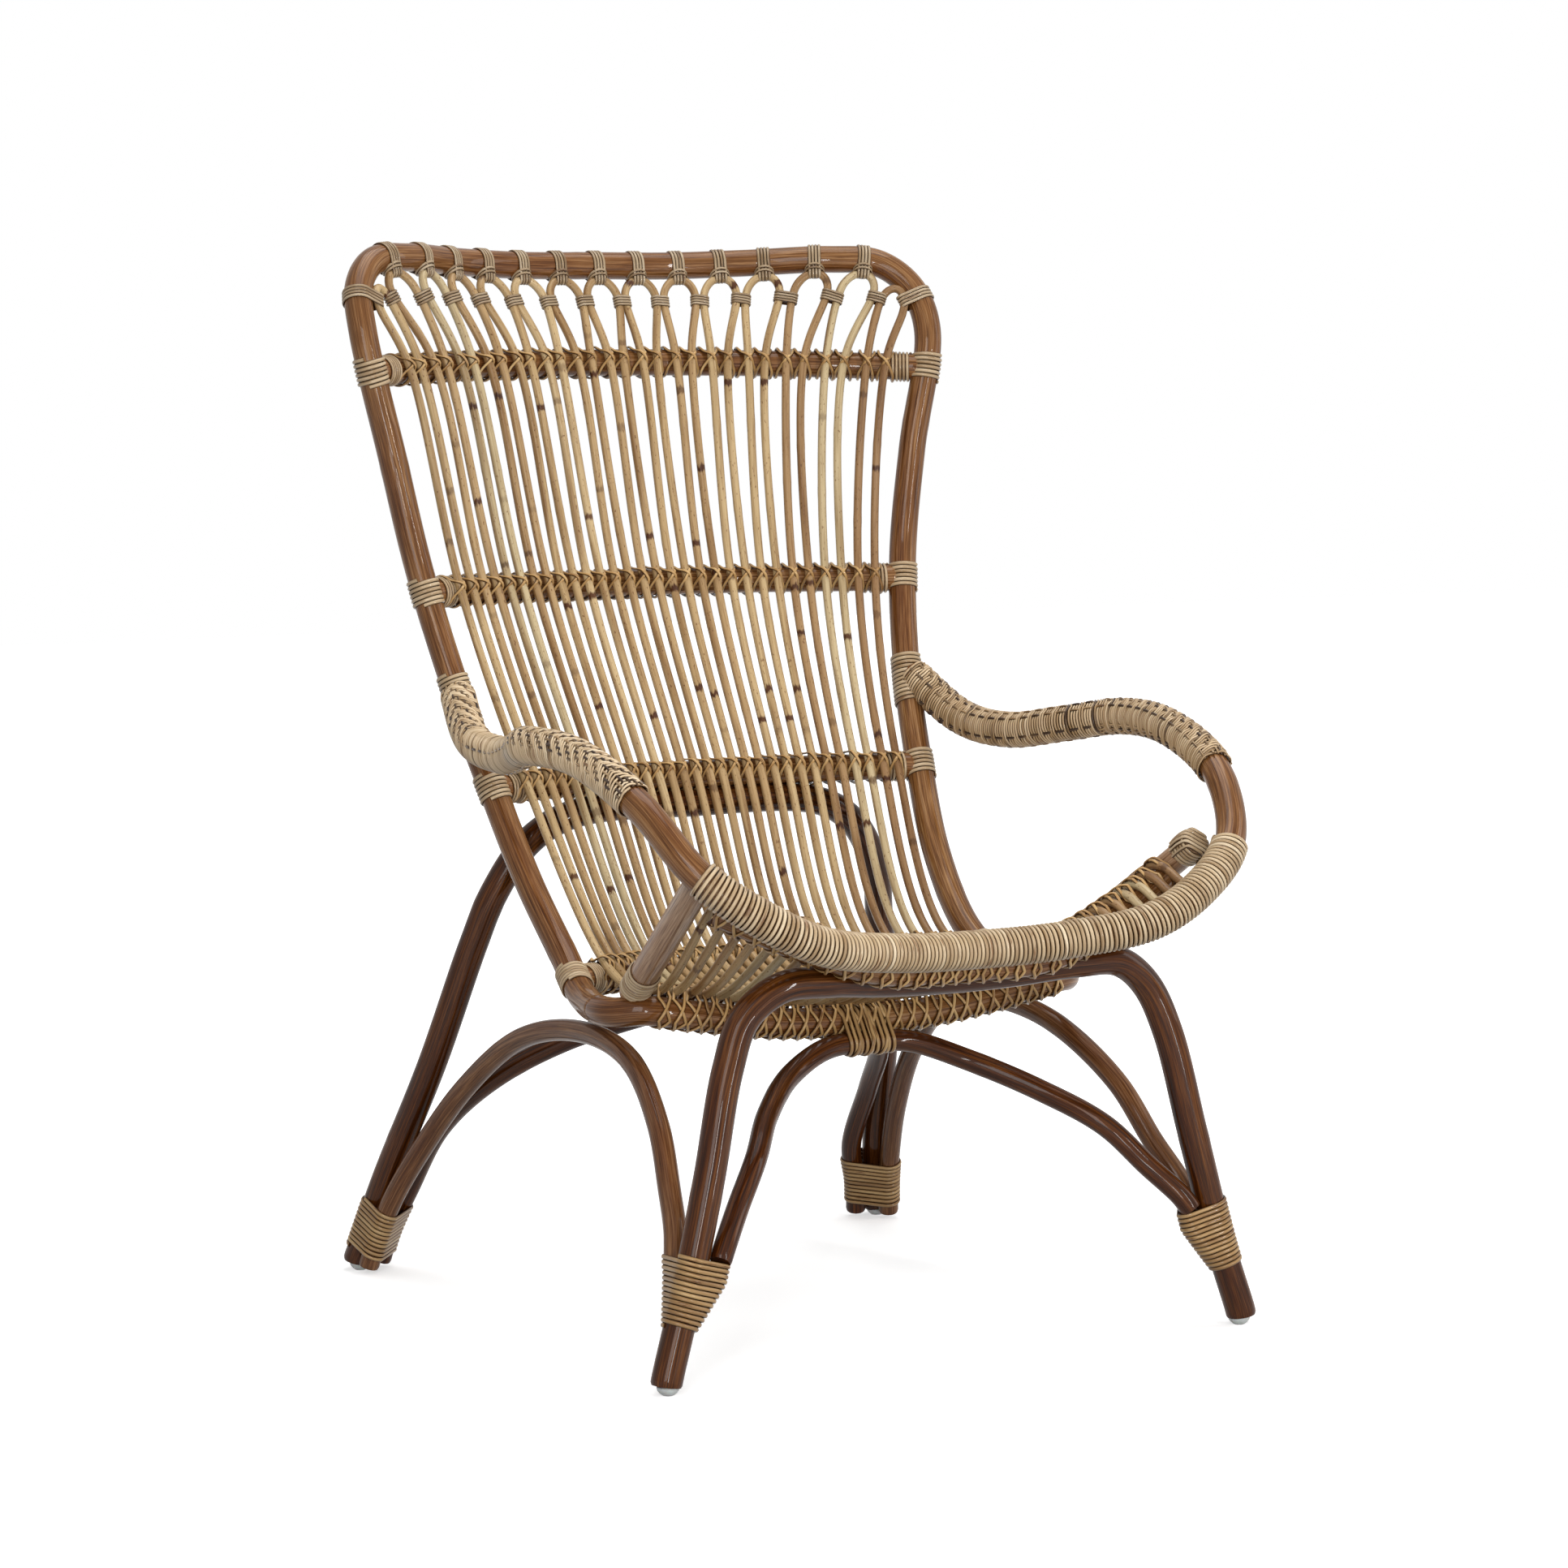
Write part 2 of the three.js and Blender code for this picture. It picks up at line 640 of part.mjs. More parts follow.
const rearArchLean = THREE.MathUtils.degToRad(rearArchSlope);
const rearArchReach = barRadius + archRadius + clearance;
const rearArchMiddle = pointWhere(seatBar, 'x', 0);
rearArchMiddle.y += rearArchReach * Math.cos(rearArchLean);
rearArchMiddle.z -= rearArchReach * Math.sin(rearArchLean);
const rearArchHalf = [
  rearArchMiddle, rearArchQuarter, rearArchOuter, rearArchBend, rearArchShin,
  ...besideRear(inside).reverse(),
];
const rearArch = bend(bothSides(rearArchHalf), poleSteps);
addPiece('rear_arch', tube(rearArch, archRadius, thinPoleSides), stainedPole);

// Lashing of the front arch to the lower hoop
const lashingStart = (-archLashingTurns * archLashingPitch) / 2;
const lashing = aroundBundle([lashingArcs, lashingArcs], (turn) => {
  const x = lashingStart + turn * archLashingPitch;
  return [
    { centre: pointWhere(lowerHoop, 'x', x), radius: poleRadius },
    { centre: pointWhere(frontArch, 'x', x), radius: archRadius },
  ];
}, at(0, 1, 0), at(0, 0, 1));
wind('arch_lashing', archLashingTurns, lashing.steps, lashing.place);

// Foot wraps: a front wrap narrows from three poles at its top to the leg alone at its bottom
function footWrap(name, bottom, turns, discsAtHeight) {
  const discsAt = (turn) => discsAtHeight(bottom + turn * canePitch);
  const wrap = aroundBundle([legArcs, archArcs, archArcs], discsAt, at(1, 0, 0), at(0, 1, 0));
  windBothSides(name, turns, wrap.steps, wrap.place);
}

// The round section of a leaning pole at a height, counted from the first end of its route
function sectionAt(route, height, radius) {
  const place = placeWhere(route, 'z', height);
  const run = route[place.index + 1].clone().sub(route[place.index]).normalize();
  return { centre: place.point, radius: radius / Math.abs(run.z) };
}

const taperTop = frontArchEnd - archRadius / 2;
const fullTaper = 0.98;
const sideFromFront = [...sideArch].reverse();
const frontArchFromFoot = [...frontArch].reverse();
const rearArchFromFoot = [...rearArch].reverse();

function frontDiscs(height) {
  const leg = sectionAt(frontLegRight, height, legRadius);
  if (height > frontArchEnd) {
    const side = sectionAt(sideFromFront, height, archRadius);
    const front = sectionAt(frontArchFromFoot, height, archRadius);
    return [leg, side, front];
  }
  const share = THREE.MathUtils.clamp((taperTop - height) / (taperTop - frontWrapBottom), 0, fullTaper);
  const radius = THREE.MathUtils.lerp(archRadius, leg.radius, share);
  const discs = [leg];
  for (const offset of [behind, inside]) {
    discs.push({ centre: leg.centre.clone().addScaledVector(offset, 1 - share), radius });
  }
  return discs;
}

function rearDiscs(height) {
  return [
    sectionAt(rearLegRight, height, legRadius),
    sectionAt(rearArchFromFoot, height, archRadius),
    sectionAt(sideArch, height, archRadius),
  ];
}

footWrap('foot_wrap_front', frontWrapBottom, frontWrapTurns, frontDiscs);
footWrap('foot_wrap_rear', rearWrapBottom, rearWrapTurns, rearDiscs);

// Glides: turned plastic domes, flat underneath
function glide(name, foot) {
  const profile = [
    new THREE.Vector2(0, 0),
    new THREE.Vector2(glideFootRadius, 0),
    new THREE.Vector2((glideFootRadius + glideRadius) / 2, glideHeight / 4),
    new THREE.Vector2(glideRadius, (glideHeight * 3) / 4),
    new THREE.Vector2(glideRadius, glideHeight),
    new THREE.Vector2(0, glideHeight),
  ];
  const dome = new THREE.LatheGeometry(profile, glideSides);
  dome.rotateX(Math.PI / 2);
  dome.translate(foot.x, foot.y, 0);
  addPiece(name, dome, clearPlastic);
}

glide('glide_front_right', frontFoot);
glide('glide_front_left', mirrored(frontFoot));
glide('glide_rear_right', rearFoot);
glide('glide_rear_left', mirrored(rearFoot));

// Hairpins: a loop under the top rail, two rods down the back in front of the crossbars, then the seat
const barReach = barRadius + rodRadius + clearance;
const lashingRise = (poleRadius + bundleRoom) / Math.cos(Math.PI / lashingArcs / 2) + caneThickness;
const hoopReach = lashingRise + clearance + rodRadius;
const rimSeat = rimRadius + rodRadius + rodBendRoom;
const stations = [
  { route: topBar, spacing: topRodSpacing, spread: topHairpinSpread, reach: barReach },
  { route: middleBar, spacing: middleRodSpacing, spread: middleRodSpacing, reach: barReach },
  { route: lowerBar, spacing: lowerRodSpacing, spread: lowerRodSpacing, reach: barReach },
  { route: seatBar, spacing: seatRodSpacing, spread: seatRodSpacing, reach: barReach },
  { route: lowerHoop, spacing: hoopRodSpacing, spread: hoopRodSpacing, reach: hoopReach },
  { route: rim, spacing: rimRodSpacing, spread: rimRodSpacing, reach: rimSeat },
];

// Where a rod that passes the rim rail at a point ends, short of the wrapped edge
function rodEnd(pass) {
  const edge = pointWhere(hoop, 'x', pass.x);
  const inward = pass.clone().sub(edge).normalize();
  return edge.addScaledVector(inward, wrapRadius + rodEndRoom);
}

// The points where one rod passes the bars, each moved out along the normal to both, and its end
function rodPoints(hairpin, legSide, top) {
  let points = stations.map((station) => {
    return pointWhere(station.route, 'x', hairpin * 2 * station.spacing + (legSide * station.spread) / 2);
  });
  const targets = points.map((point) => point.x);
  for (let pass = 0; pass < seatingPasses; pass += 1) {
    const line = [top, ...points, rodEnd(points[points.length - 1])];
    points = stations.map((station, index) => {
      const rod = line[index + 2].clone().sub(line[index]).normalize();
      const place = placeWhere(station.route, 'x', targets[index]);
      const run = directionAt(station.route, place.index);
      const normal = rod.cross(run).normalize().multiplyScalar(station.reach);
      return pointWhere(station.route, 'x', targets[index] - normal.x).add(normal);
    });
  }
  return [...points, rodEnd(points[points.length - 1])];
}

// The loop's apex: where it touches the rail, or the corner bend for the outermost hairpin
function loopApex(hairpin) {
  const drop = THREE.MathUtils.degToRad(loopDrop);
  const reach = poleRadius + rodRadius + clearance;
  if (hairpin < hairpinsPerSide) {
    const place = placeWhere(rightPost, 'x', hairpin * loopSpacing);
    const run = hairpin === 0 ? at(1, 0, 0) : directionAt(rightPost, place.index);
    const down = square(at(0, 0, -1), run);
    const forward = down.clone().cross(run);
    const outward = forward.multiplyScalar(Math.cos(drop)).addScaledVector(down, Math.sin(drop));
    return { apex: place.point.addScaledVector(outward, reach), run };
  }
  const corner = cornerTop.clone().lerp(cornerSide, 0.5);
  const apex = corner.addScaledVector(cornerInward.clone().normalize(), reach + 4 * clearance);
  return { apex, run: cornerRun.clone().normalize() };
}

function hairpinRoute(hairpin) {
  const { apex, run } = loopApex(hairpin);
  const outermost = hairpin === hairpinsPerSide;
  const halfWidth = outermost ? cornerLoopHalfWidth : loopHalfWidth;
  const height = outermost ? cornerLoopHeight : loopHeight;
  const innerLeg = rodPoints(hairpin, -1, apex);
  const outerLeg = rodPoints(hairpin, 1, apex);
  const below = innerLeg[0].clone().add(outerLeg[0]).multiplyScalar(0.5).sub(apex).normalize();
  const centre = apex.clone().addScaledVector(below, height);
  const loop = [];
  for (let step = 0; step <= loopSteps; step += 1) {
    const turn = Math.PI * (1 - step / loopSteps);
    const point = centre.clone().addScaledVector(run, halfWidth * Math.cos(turn));
    loop.push(point.addScaledVector(below, -height * Math.sin(turn)));
  }
  const route = bend([...innerLeg.reverse(), ...loop, ...outerLeg], rodSteps);
  // Past the rim rail both ends run straight
  route.splice(1, rodSteps - 1);
  route.splice(-rodSteps, rodSteps - 1);
  return route;
}

for (let hairpin = -hairpinsPerSide; hairpin <= hairpinsPerSide; hairpin += 1) {
  const number = String(hairpin + hairpinsPerSide + 1).padStart(2, '0');
  const route = hairpinRoute(Math.abs(hairpin));
  const placed = hairpin < 0 ? route.map(mirrored) : route;
  addPiece(`hairpin_${number}`, tube(placed, rodRadius, rodSides), paleRod);
}

// The origin stands on the floor under the middle of the chair's box
const box = new THREE.Box3().setFromObject(chair);
chair.position.y = -(box.min.y + box.max.y) / 2;

export default chair;
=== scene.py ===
# %% [markdown]
# # A high-backed rattan armchair
# The chair is bent poles, thin rods and split cane, and nothing else. A fixed frame gives its sizes,
# so each step here draws one kind of part in its true place and then gives it its finish.
# We load the frame first, and read a part's box from it where we need a size.

# %% Load the fixed frame
import math
import bpy
import numpy as np
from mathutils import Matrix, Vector


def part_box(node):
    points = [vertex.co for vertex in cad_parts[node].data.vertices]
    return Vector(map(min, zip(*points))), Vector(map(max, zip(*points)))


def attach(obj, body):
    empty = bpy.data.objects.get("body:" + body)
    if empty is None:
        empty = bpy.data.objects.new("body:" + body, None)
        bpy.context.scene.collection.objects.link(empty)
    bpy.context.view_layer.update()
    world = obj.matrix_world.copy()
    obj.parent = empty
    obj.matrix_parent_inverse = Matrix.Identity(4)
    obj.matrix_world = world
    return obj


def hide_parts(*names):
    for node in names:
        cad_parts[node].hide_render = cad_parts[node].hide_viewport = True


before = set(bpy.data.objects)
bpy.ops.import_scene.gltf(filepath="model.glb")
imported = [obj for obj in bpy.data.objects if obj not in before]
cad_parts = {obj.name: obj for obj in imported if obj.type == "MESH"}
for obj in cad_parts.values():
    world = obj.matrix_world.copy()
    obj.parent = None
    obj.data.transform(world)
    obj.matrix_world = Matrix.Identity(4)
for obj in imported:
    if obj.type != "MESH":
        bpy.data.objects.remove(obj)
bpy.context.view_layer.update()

chance = np.random.default_rng(29)

# %% [markdown]
# ## Camera
# The picture was taken from the front left, a little above the seat, from far away with a long lens.
# A camera looks along its own -Z, so we aim it with a direction and let Blender work out the turn.
# Lamps are aimed in the same way later.

# %% Place the camera
STAND = (-2.3825, -4.1441, 0.9718)
TURN, DIP = math.radians(29.94), math.radians(5.593)
LENS, SENSOR = 113.46, 36


def hang(name, data):
    """A new object in the scene that holds the data."""
    made = bpy.data.objects.new(name, data)
    bpy.context.scene.collection.objects.link(made)
    return made


def facing(direction):
    return direction.to_track_quat("-Z", "Y").to_euler()


camera_data = bpy.data.cameras.new("photo_camera")
camera_data.lens = LENS
camera_data.sensor_width = SENSOR
camera = hang("photo_camera", camera_data)
camera.location = STAND
level_share = math.cos(DIP)
aim = Vector((math.sin(TURN) * level_share, math.cos(TURN) * level_share, -math.sin(DIP)))
camera.rotation_euler = facing(aim)
bpy.context.scene.camera = camera
print("camera aims", [round(v, 3) for v in aim])

# %% [markdown]
# ## Helpers for nodes
# Materials and Geometry Nodes are both trees of nodes. One helper serves both: it adds a node, sets
# its options and feeds its inputs, each either from another node's socket or with a plain value.
# Two short ones on top of it write sums, with numbers and with vectors.

# %% The node helpers
def put(tree, kind, *feeds, **options):
    made = tree.nodes.new(kind)
    for option, value in options.items():
        setattr(made, option, value)
    for place, source in feeds:
        if isinstance(source, bpy.types.NodeSocket):
            tree.links.new(source, made.inputs[place])
        else:
            made.inputs[place].default_value = source
    return made


def sums(tree, operation, *values):
    return put(tree, "ShaderNodeMath", *enumerate(values), operation=operation).outputs[0]


def vector_sums(tree, operation, *values, **others):
    feeds = (*enumerate(values), *others.items())
    return put(tree, "ShaderNodeVectorMath", *feeds, operation=operation).outputs[0]


def cleared(owner):
    """The empty node tree of a world or a material."""
    owner.use_nodes = True
    owner.node_tree.nodes.clear()
    return owner.node_tree


print("node helpers:", put.__name__, sums.__name__, vector_sums.__name__, cleared.__name__)

# %% [markdown]
# ## Studio
# The chair stands on a white sweep in soft light. A tall lamp on the left is the main one, a second
# on the right lifts the shadow side, one overhead fills, a low narrow one in front reaches under the
# seat, and a thin strip draws the sharp highlights on the lacquer. The world is white to the lens and
# to gloss, and dimmer as a light, so that shade stays in the gaps. The floor is matt paper, which
# takes the shadow, with a glow added that only the lens and gloss see. The glow grows away from the
# chair, so no line shows where the floor ends.

# %% World
WHITE = (1, 1, 1, 1)
bpy.context.scene.view_settings.view_transform = "Standard"
world = bpy.data.worlds.new("white_studio")
bpy.context.scene.world = world
sky = cleared(world)


def looked_at(tree):
    """1 where a surface is looked at, straight or in a reflection, and 0 where it only lights."""
    ray = put(tree, "ShaderNodeLightPath").outputs
    seen = sums(tree, "MAXIMUM", ray["Is Camera Ray"], ray["Is Glossy Ray"])
    return sums(tree, "MAXIMUM", seen, ray["Is Transmission Ray"])


dim_sky = put(sky, "ShaderNodeBackground", ("Color", WHITE), ("Strength", 0.28)).outputs[0]
white_sky = put(sky, "ShaderNodeBackground", ("Color", WHITE), ("Strength", 1.0)).outputs[0]
either = put(sky, "ShaderNodeMixShader", (0, looked_at(sky)), (1, dim_sky), (2, white_sky))
put(sky, "ShaderNodeOutputWorld", (0, either.outputs[0]))
print("world nodes:", len(sky.nodes))


# %% Lamps
def lamp(name, where, target, size, power):
    data = bpy.data.lights.new(name, "AREA")
    data.shape = "RECTANGLE"
    data.size, data.size_y = size
    data.energy = power
    made = hang(name, data)
    made.location = where
    made.rotation_euler = facing(Vector(target) - Vector(where))


lamp("left_softbox", (-2.3, -2.8, 1.6), (0, 0, 0.5), (1.2, 2.2), 54)
lamp("right_softbox", (2.6, -1.2, 1.6), (0, 0, 0.5), (0.8, 2.0), 15)
lamp("top_softbox", (0.2, 0.3, 3.2), (0, 0, 0.4), (2.0, 2.0), 42)
lamp("low_softbox", (-1.5, -3.6, 0.5), (0, 0, 0.4), (0.3, 0.9), 24)
lamp("front_strip", (0.8, -2.9, 0.96), (0, 0, 0.96), (0.12, 1.86), 36)
print("lamps:", len(bpy.data.lights))

# %% Floor
FLOOR_HALF = 9
GLOW_NEAR, GLOW_FAR = (0.6, 0.5), (2.0, 1.0)
PAPER_AS_LIGHT, PAPER_LOOKED_AT = 0.12, 0.95

corners = [(x * FLOOR_HALF, y * FLOOR_HALF, 0) for x, y in ((-1, -1), (1, -1), (1, 1), (-1, 1))]
floor_mesh = bpy.data.meshes.new("floor")
floor_mesh.from_pydata(corners, [], [(0, 1, 2, 3)])
floor = hang("floor", floor_mesh)
paper = bpy.data.materials.new("white_paper")
sheet = cleared(paper)
ground = put(sheet, "ShaderNodeTexCoord").outputs["Object"]
away = put(sheet, "ShaderNodeVectorMath", (0, ground), operation="LENGTH").outputs["Value"]
fade = put(
    sheet, "ShaderNodeMapRange", ("Value", away), ("From Min", GLOW_NEAR[0]), ("To Min", GLOW_NEAR[1]),
    ("From Max", GLOW_FAR[0]), ("To Max", GLOW_FAR[1]),
).outputs[0]
bounce = put(
    sheet, "ShaderNodeMapRange", ("Value", looked_at(sheet)), ("To Min", PAPER_AS_LIGHT),
    ("To Max", PAPER_LOOKED_AT),
).outputs[0]
matt = put(sheet, "ShaderNodeBsdfDiffuse", ("Color", bounce)).outputs[0]
strength = sums(sheet, "MULTIPLY", looked_at(sheet), fade)
glow = put(sheet, "ShaderNodeEmission", ("Color", WHITE), ("Strength", strength)).outputs[0]
both = put(sheet, "ShaderNodeAddShader", (0, matt), (1, glow))
put(sheet, "ShaderNodeOutputMaterial", (0, both.outputs[0]))
floor_mesh.materials.append(paper)
print("floor set, paper nodes:", len(sheet.nodes))

# %% [markdown]
# ## Points and bends
# Every pole is drawn as a few points in millimetres, half a chair at a time, and a smooth bend goes
# through them. The drawing's depth is measured from the seat, so we look up where the frame has put
# the right front foot and shift the drawing to it. A bend is then cut into even steps, because
# even steps keep the grain of a pole from stretching.

# %% Helpers for points
FRONT_FOOT = (310, -301)
foot_low, foot_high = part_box("glide_front_right")
set_back = (foot_low.y + foot_high.y) / 2 - FRONT_FOOT[1] / 1000


def at(x, y, z):
    return np.array((x / 1000, y / 1000 + set_back, z / 1000))


def unit(vectors):
    vectors = np.asarray(vectors, float)
    return vectors / np.linalg.norm(vectors, axis=-1, keepdims=True)


def square(direction, to):
    return unit(direction - np.sum(direction * to, axis=-1, keepdims=True) * to)


def mirrored(points):
    return np.asarray(points) * (-1, 1, 1)


def both_sides(half):
    return np.concatenate([mirrored(half)[:0:-1], half])


print("drawing set back by", round(set_back * 1000, 2), "mm")

# %% Helpers for paths
STEP = 0.004
BEND_PARTS = 24


def lengths(path):
    return np.concatenate([[0], np.cumsum(np.linalg.norm(np.diff(path, axis=0), axis=1))])


def walk(path, distance):
    run = lengths(path)
    return np.stack([np.interp(distance, run, path[:, axis]) for axis in range(3)], -1)


def stretch(path, start, end, step=STEP):
    count = 2 * max(1, round((end - start) / step / 2)) + 1
    return walk(path, np.linspace(start, end, count))


def bend(points, step=STEP):
    p = np.asarray(points, float)
    p = np.vstack([2 * p[0] - p[1], p, 2 * p[-1] - p[-2]])
    knot = np.sqrt(np.linalg.norm(np.diff(p, axis=0), axis=1))
    t = np.linspace(0, 1, BEND_PARTS, endpoint=False)[:, None]
    drawn = []
    for i in range(1, len(p) - 2):
        a, b, c, d = p[i - 1 : i + 3]
        ka, kb, kc = knot[i - 1 : i + 2]
        leave = ((b - a) / ka - (c - a) / (ka + kb) + (c - b) / kb) * kb
        arrive = ((c - b) / kb - (d - b) / (kb + kc) + (d - c) / kc) * kb
        drawn.append(
            b + leave * t + (3 * (c - b) - 2 * leave - arrive) * t**2
            + (2 * (b - c) + leave + arrive) * t**3
        )
    drawn = np.vstack([*drawn, p[-2:-1]])
    return stretch(drawn, 0, lengths(drawn)[-1], step)


def place(path, axis, value):
    """How far along a path one coordinate first takes a value."""
    gap = path[:, axis] - value
    first = np.flatnonzero(gap[:-1] * gap[1:] <= 0)[0]
    run = lengths(path)
    share = gap[first] / (gap[first] - gap[first + 1])
    return run[first] + (run[first + 1] - run[first]) * share


def heading(path, distance, reach=STEP):
    return unit(walk(path, distance + reach) - walk(path, distance - reach))


print("paths are cut every", STEP * 1000, "mm")

# %% [markdown]
# ## Sweeping a section along a path
# Poles, rods and cane all have one section that is carried along a path, which is Geometry Nodes'
# Curve to Mesh. We feed it bare chains of points. Each point carries the way out of the pole under
# it, its distance along the strand, a girth and a tone. The section is a circle whose back can be cut
# off flat: a round pole keeps its back, and split cane, which is half a skin, does not.
# The cut ends are shaded flat, so that they stay crisp. The tree also stores the grain, a straightened
# place on the strand, so that fibres follow each bend.

# %% Helpers for trees of geometry
def new_tree(name, **sizes):
    tree = bpy.data.node_groups.new(name, "GeometryNodeTree")
    tree.interface.new_socket("Geometry", in_out="INPUT", socket_type="NodeSocketGeometry")
    for label, kind in sizes.items():
        tree.interface.new_socket(label, in_out="INPUT", socket_type="NodeSocket" + kind)
    tree.interface.new_socket("Geometry", in_out="OUTPUT", socket_type="NodeSocketGeometry")
    return tree, tree.nodes.new("NodeGroupInput").outputs


def after(tree, geometry, kind, *feeds, **options):
    """What one more geometry node makes of a geometry."""
    return put(tree, "GeometryNode" + kind, (0, geometry), *feeds, **options).outputs[0]


def named(tree, name, kind):
    made = put(tree, "GeometryNodeInputNamedAttribute", ("Name", name), data_type=kind)
    return made.outputs["Attribute"]


def keep(tree, geometry, name, kind, value):
    feeds = ("Name", name), ("Value", value)
    return after(tree, geometry, "StoreNamedAttribute", *feeds, data_type=kind, domain="POINT")


def curve_of(tree, chained):
    """A chain as a curve that keeps the chain's way out as its normal."""
    curve = after(tree, chained, "MeshToCurve")
    way = named(tree, "out", "FLOAT_VECTOR")
    return after(tree, curve, "SetCurveNormal", ("Normal", way), mode="FREE")


def close_tree(tree, skin, material):
    skin = after(tree, skin, "RealizeInstances")
    skin = after(tree, skin, "SetMaterial", ("Material", material))
    put(tree, "NodeGroupOutput", (0, skin))
    print(tree.name, "nodes:", len(tree.nodes))


print("tree helpers:", after.__name__, named.__name__, keep.__name__, curve_of.__name__)

# %% The sweep tree
SIDE_CORNERS = 4
sweep, given = new_tree(
    "sweep_section", Width="Float", Thickness="Float", Back="Float", Corners="Int", Material="Material"
)
ring = put(sweep, "GeometryNodeCurvePrimitiveCircle", ("Resolution", given["Corners"]), ("Radius", 1.0))
position = put(sweep, "GeometryNodeInputPosition").outputs[0]
corner = put(sweep, "ShaderNodeSeparateXYZ", (0, position)).outputs
behind = sums(sweep, "MULTIPLY", given["Back"], -1.0)
depth = sums(sweep, "MULTIPLY", sums(sweep, "MAXIMUM", corner["X"], behind), given["Thickness"])
half_width = sums(sweep, "MULTIPLY", given["Width"], 0.5)
side = sums(sweep, "MULTIPLY", corner["Y"], half_width)
flat_place = put(sweep, "ShaderNodeCombineXYZ", ("X", depth), ("Y", side)).outputs[0]
section = after(sweep, ring.outputs["Curve"], "SetPosition", ("Position", flat_place))
section = keep(sweep, section, "section", "FLOAT_VECTOR", position)
skin = after(
    sweep, curve_of(sweep, given["Geometry"]), "CurveToMesh", ("Profile Curve", section),
    ("Scale", named(sweep, "girth", "FLOAT")), ("Fill Caps", True),
)
spot = put(sweep, "ShaderNodeSeparateXYZ", (0, named(sweep, "section", "FLOAT_VECTOR"))).outputs
run = named(sweep, "run", "FLOAT")
grain = put(sweep, "ShaderNodeCombineXYZ", ("X", run), ("Y", spot["X"]), ("Z", spot["Y"])).outputs[0]
skin = keep(sweep, skin, "grain", "FLOAT_VECTOR", grain)
skin = after(sweep, skin, "SetShadeSmooth")
face_corners = put(sweep, "GeometryNodeInputMeshFaceNeighbors").outputs["Vertex Count"]
cut_end = put(
    sweep, "FunctionNodeCompare", (2, face_corners), (3, SIDE_CORNERS), data_type="INT",
    operation="GREATER_THAN",
).outputs[0]
skin = after(sweep, skin, "SetShadeSmooth", ("Selection", cut_end), ("Shade Smooth", False))
close_tree(sweep, skin, given["Material"])

# %% [markdown]
# ## Winding a strand round a pole
# A binding is one strand that goes round and round a pole. This tree walks along the pole's line,
# turns a little at each step, moves out by the pole's radius, and hands the spiral to the sweep tree.
# Each turn gets a tone of its own from a fixed seed, as turns of real cane differ.

# %% The winding tree
TONE_SEED = 7
winding, given = new_tree(
    "wind_strand", Start="Float", Pitch="Float", Turns="Float", Radius="Float", Steps="Float",
    Width="Float", Thickness="Float", Corners="Int", Material="Material",
)
line = curve_of(winding, given["Geometry"])
count = sums(winding, "MULTIPLY_ADD", given["Turns"], given["Steps"], 1.0)
beads = put(winding, "GeometryNodeMeshLine", ("Count", count)).outputs[0]
index = put(winding, "GeometryNodeInputIndex").outputs[0]
turn = sums(winding, "DIVIDE", index, given["Steps"])
far = sums(winding, "MULTIPLY_ADD", turn, given["Pitch"], given["Start"])
spot = put(winding, "GeometryNodeSampleCurve", ("Curves", line), ("Length", far), mode="LENGTH").outputs
aside = vector_sums(winding, "CROSS_PRODUCT", spot["Tangent"], spot["Normal"])
angle = sums(winding, "MULTIPLY", turn, 2 * math.pi)
one_way = vector_sums(winding, "SCALE", spot["Normal"], Scale=sums(winding, "COSINE", angle))
other_way = vector_sums(winding, "SCALE", aside, Scale=sums(winding, "SINE", angle))
outward = vector_sums(winding, "ADD", one_way, other_way)
lift = vector_sums(winding, "SCALE", outward, Scale=given["Radius"])
seat = vector_sums(winding, "ADD", spot["Position"], lift)
unrolled = sums(winding, "MULTIPLY", angle, given["Radius"])
whole_turn = sums(winding, "FLOOR", turn)
tone = put(
    winding, "FunctionNodeRandomValue", ("ID", whole_turn), ("Seed", TONE_SEED), data_type="FLOAT"
).outputs[1]
beads = after(winding, beads, "SetPosition", ("Position", seat))
beads = keep(winding, beads, "out", "FLOAT_VECTOR", outward)
for label, value in (("run", unrolled), ("girth", 1.0), ("tone", tone)):
    beads = keep(winding, beads, label, "FLOAT", value)
passed_on = ((label, given[label]) for label in ("Width", "Thickness", "Corners", "Material"))
skin = after(winding, beads, "Group", ("Back", 0.0), *passed_on, node_tree=sweep)
close_tree(winding, skin, given["Material"])

# %% [markdown]
# ## From chains to pieces
# A chain is a mesh of edges only. We hang a tree on it as a modifier, set the tree's inputs, take the
# evaluated result as a plain mesh and throw the chain away, so each piece is ordinary geometry
# that sits at the origin.

# %% Chains
GRAIN_SHIFT = 3.7


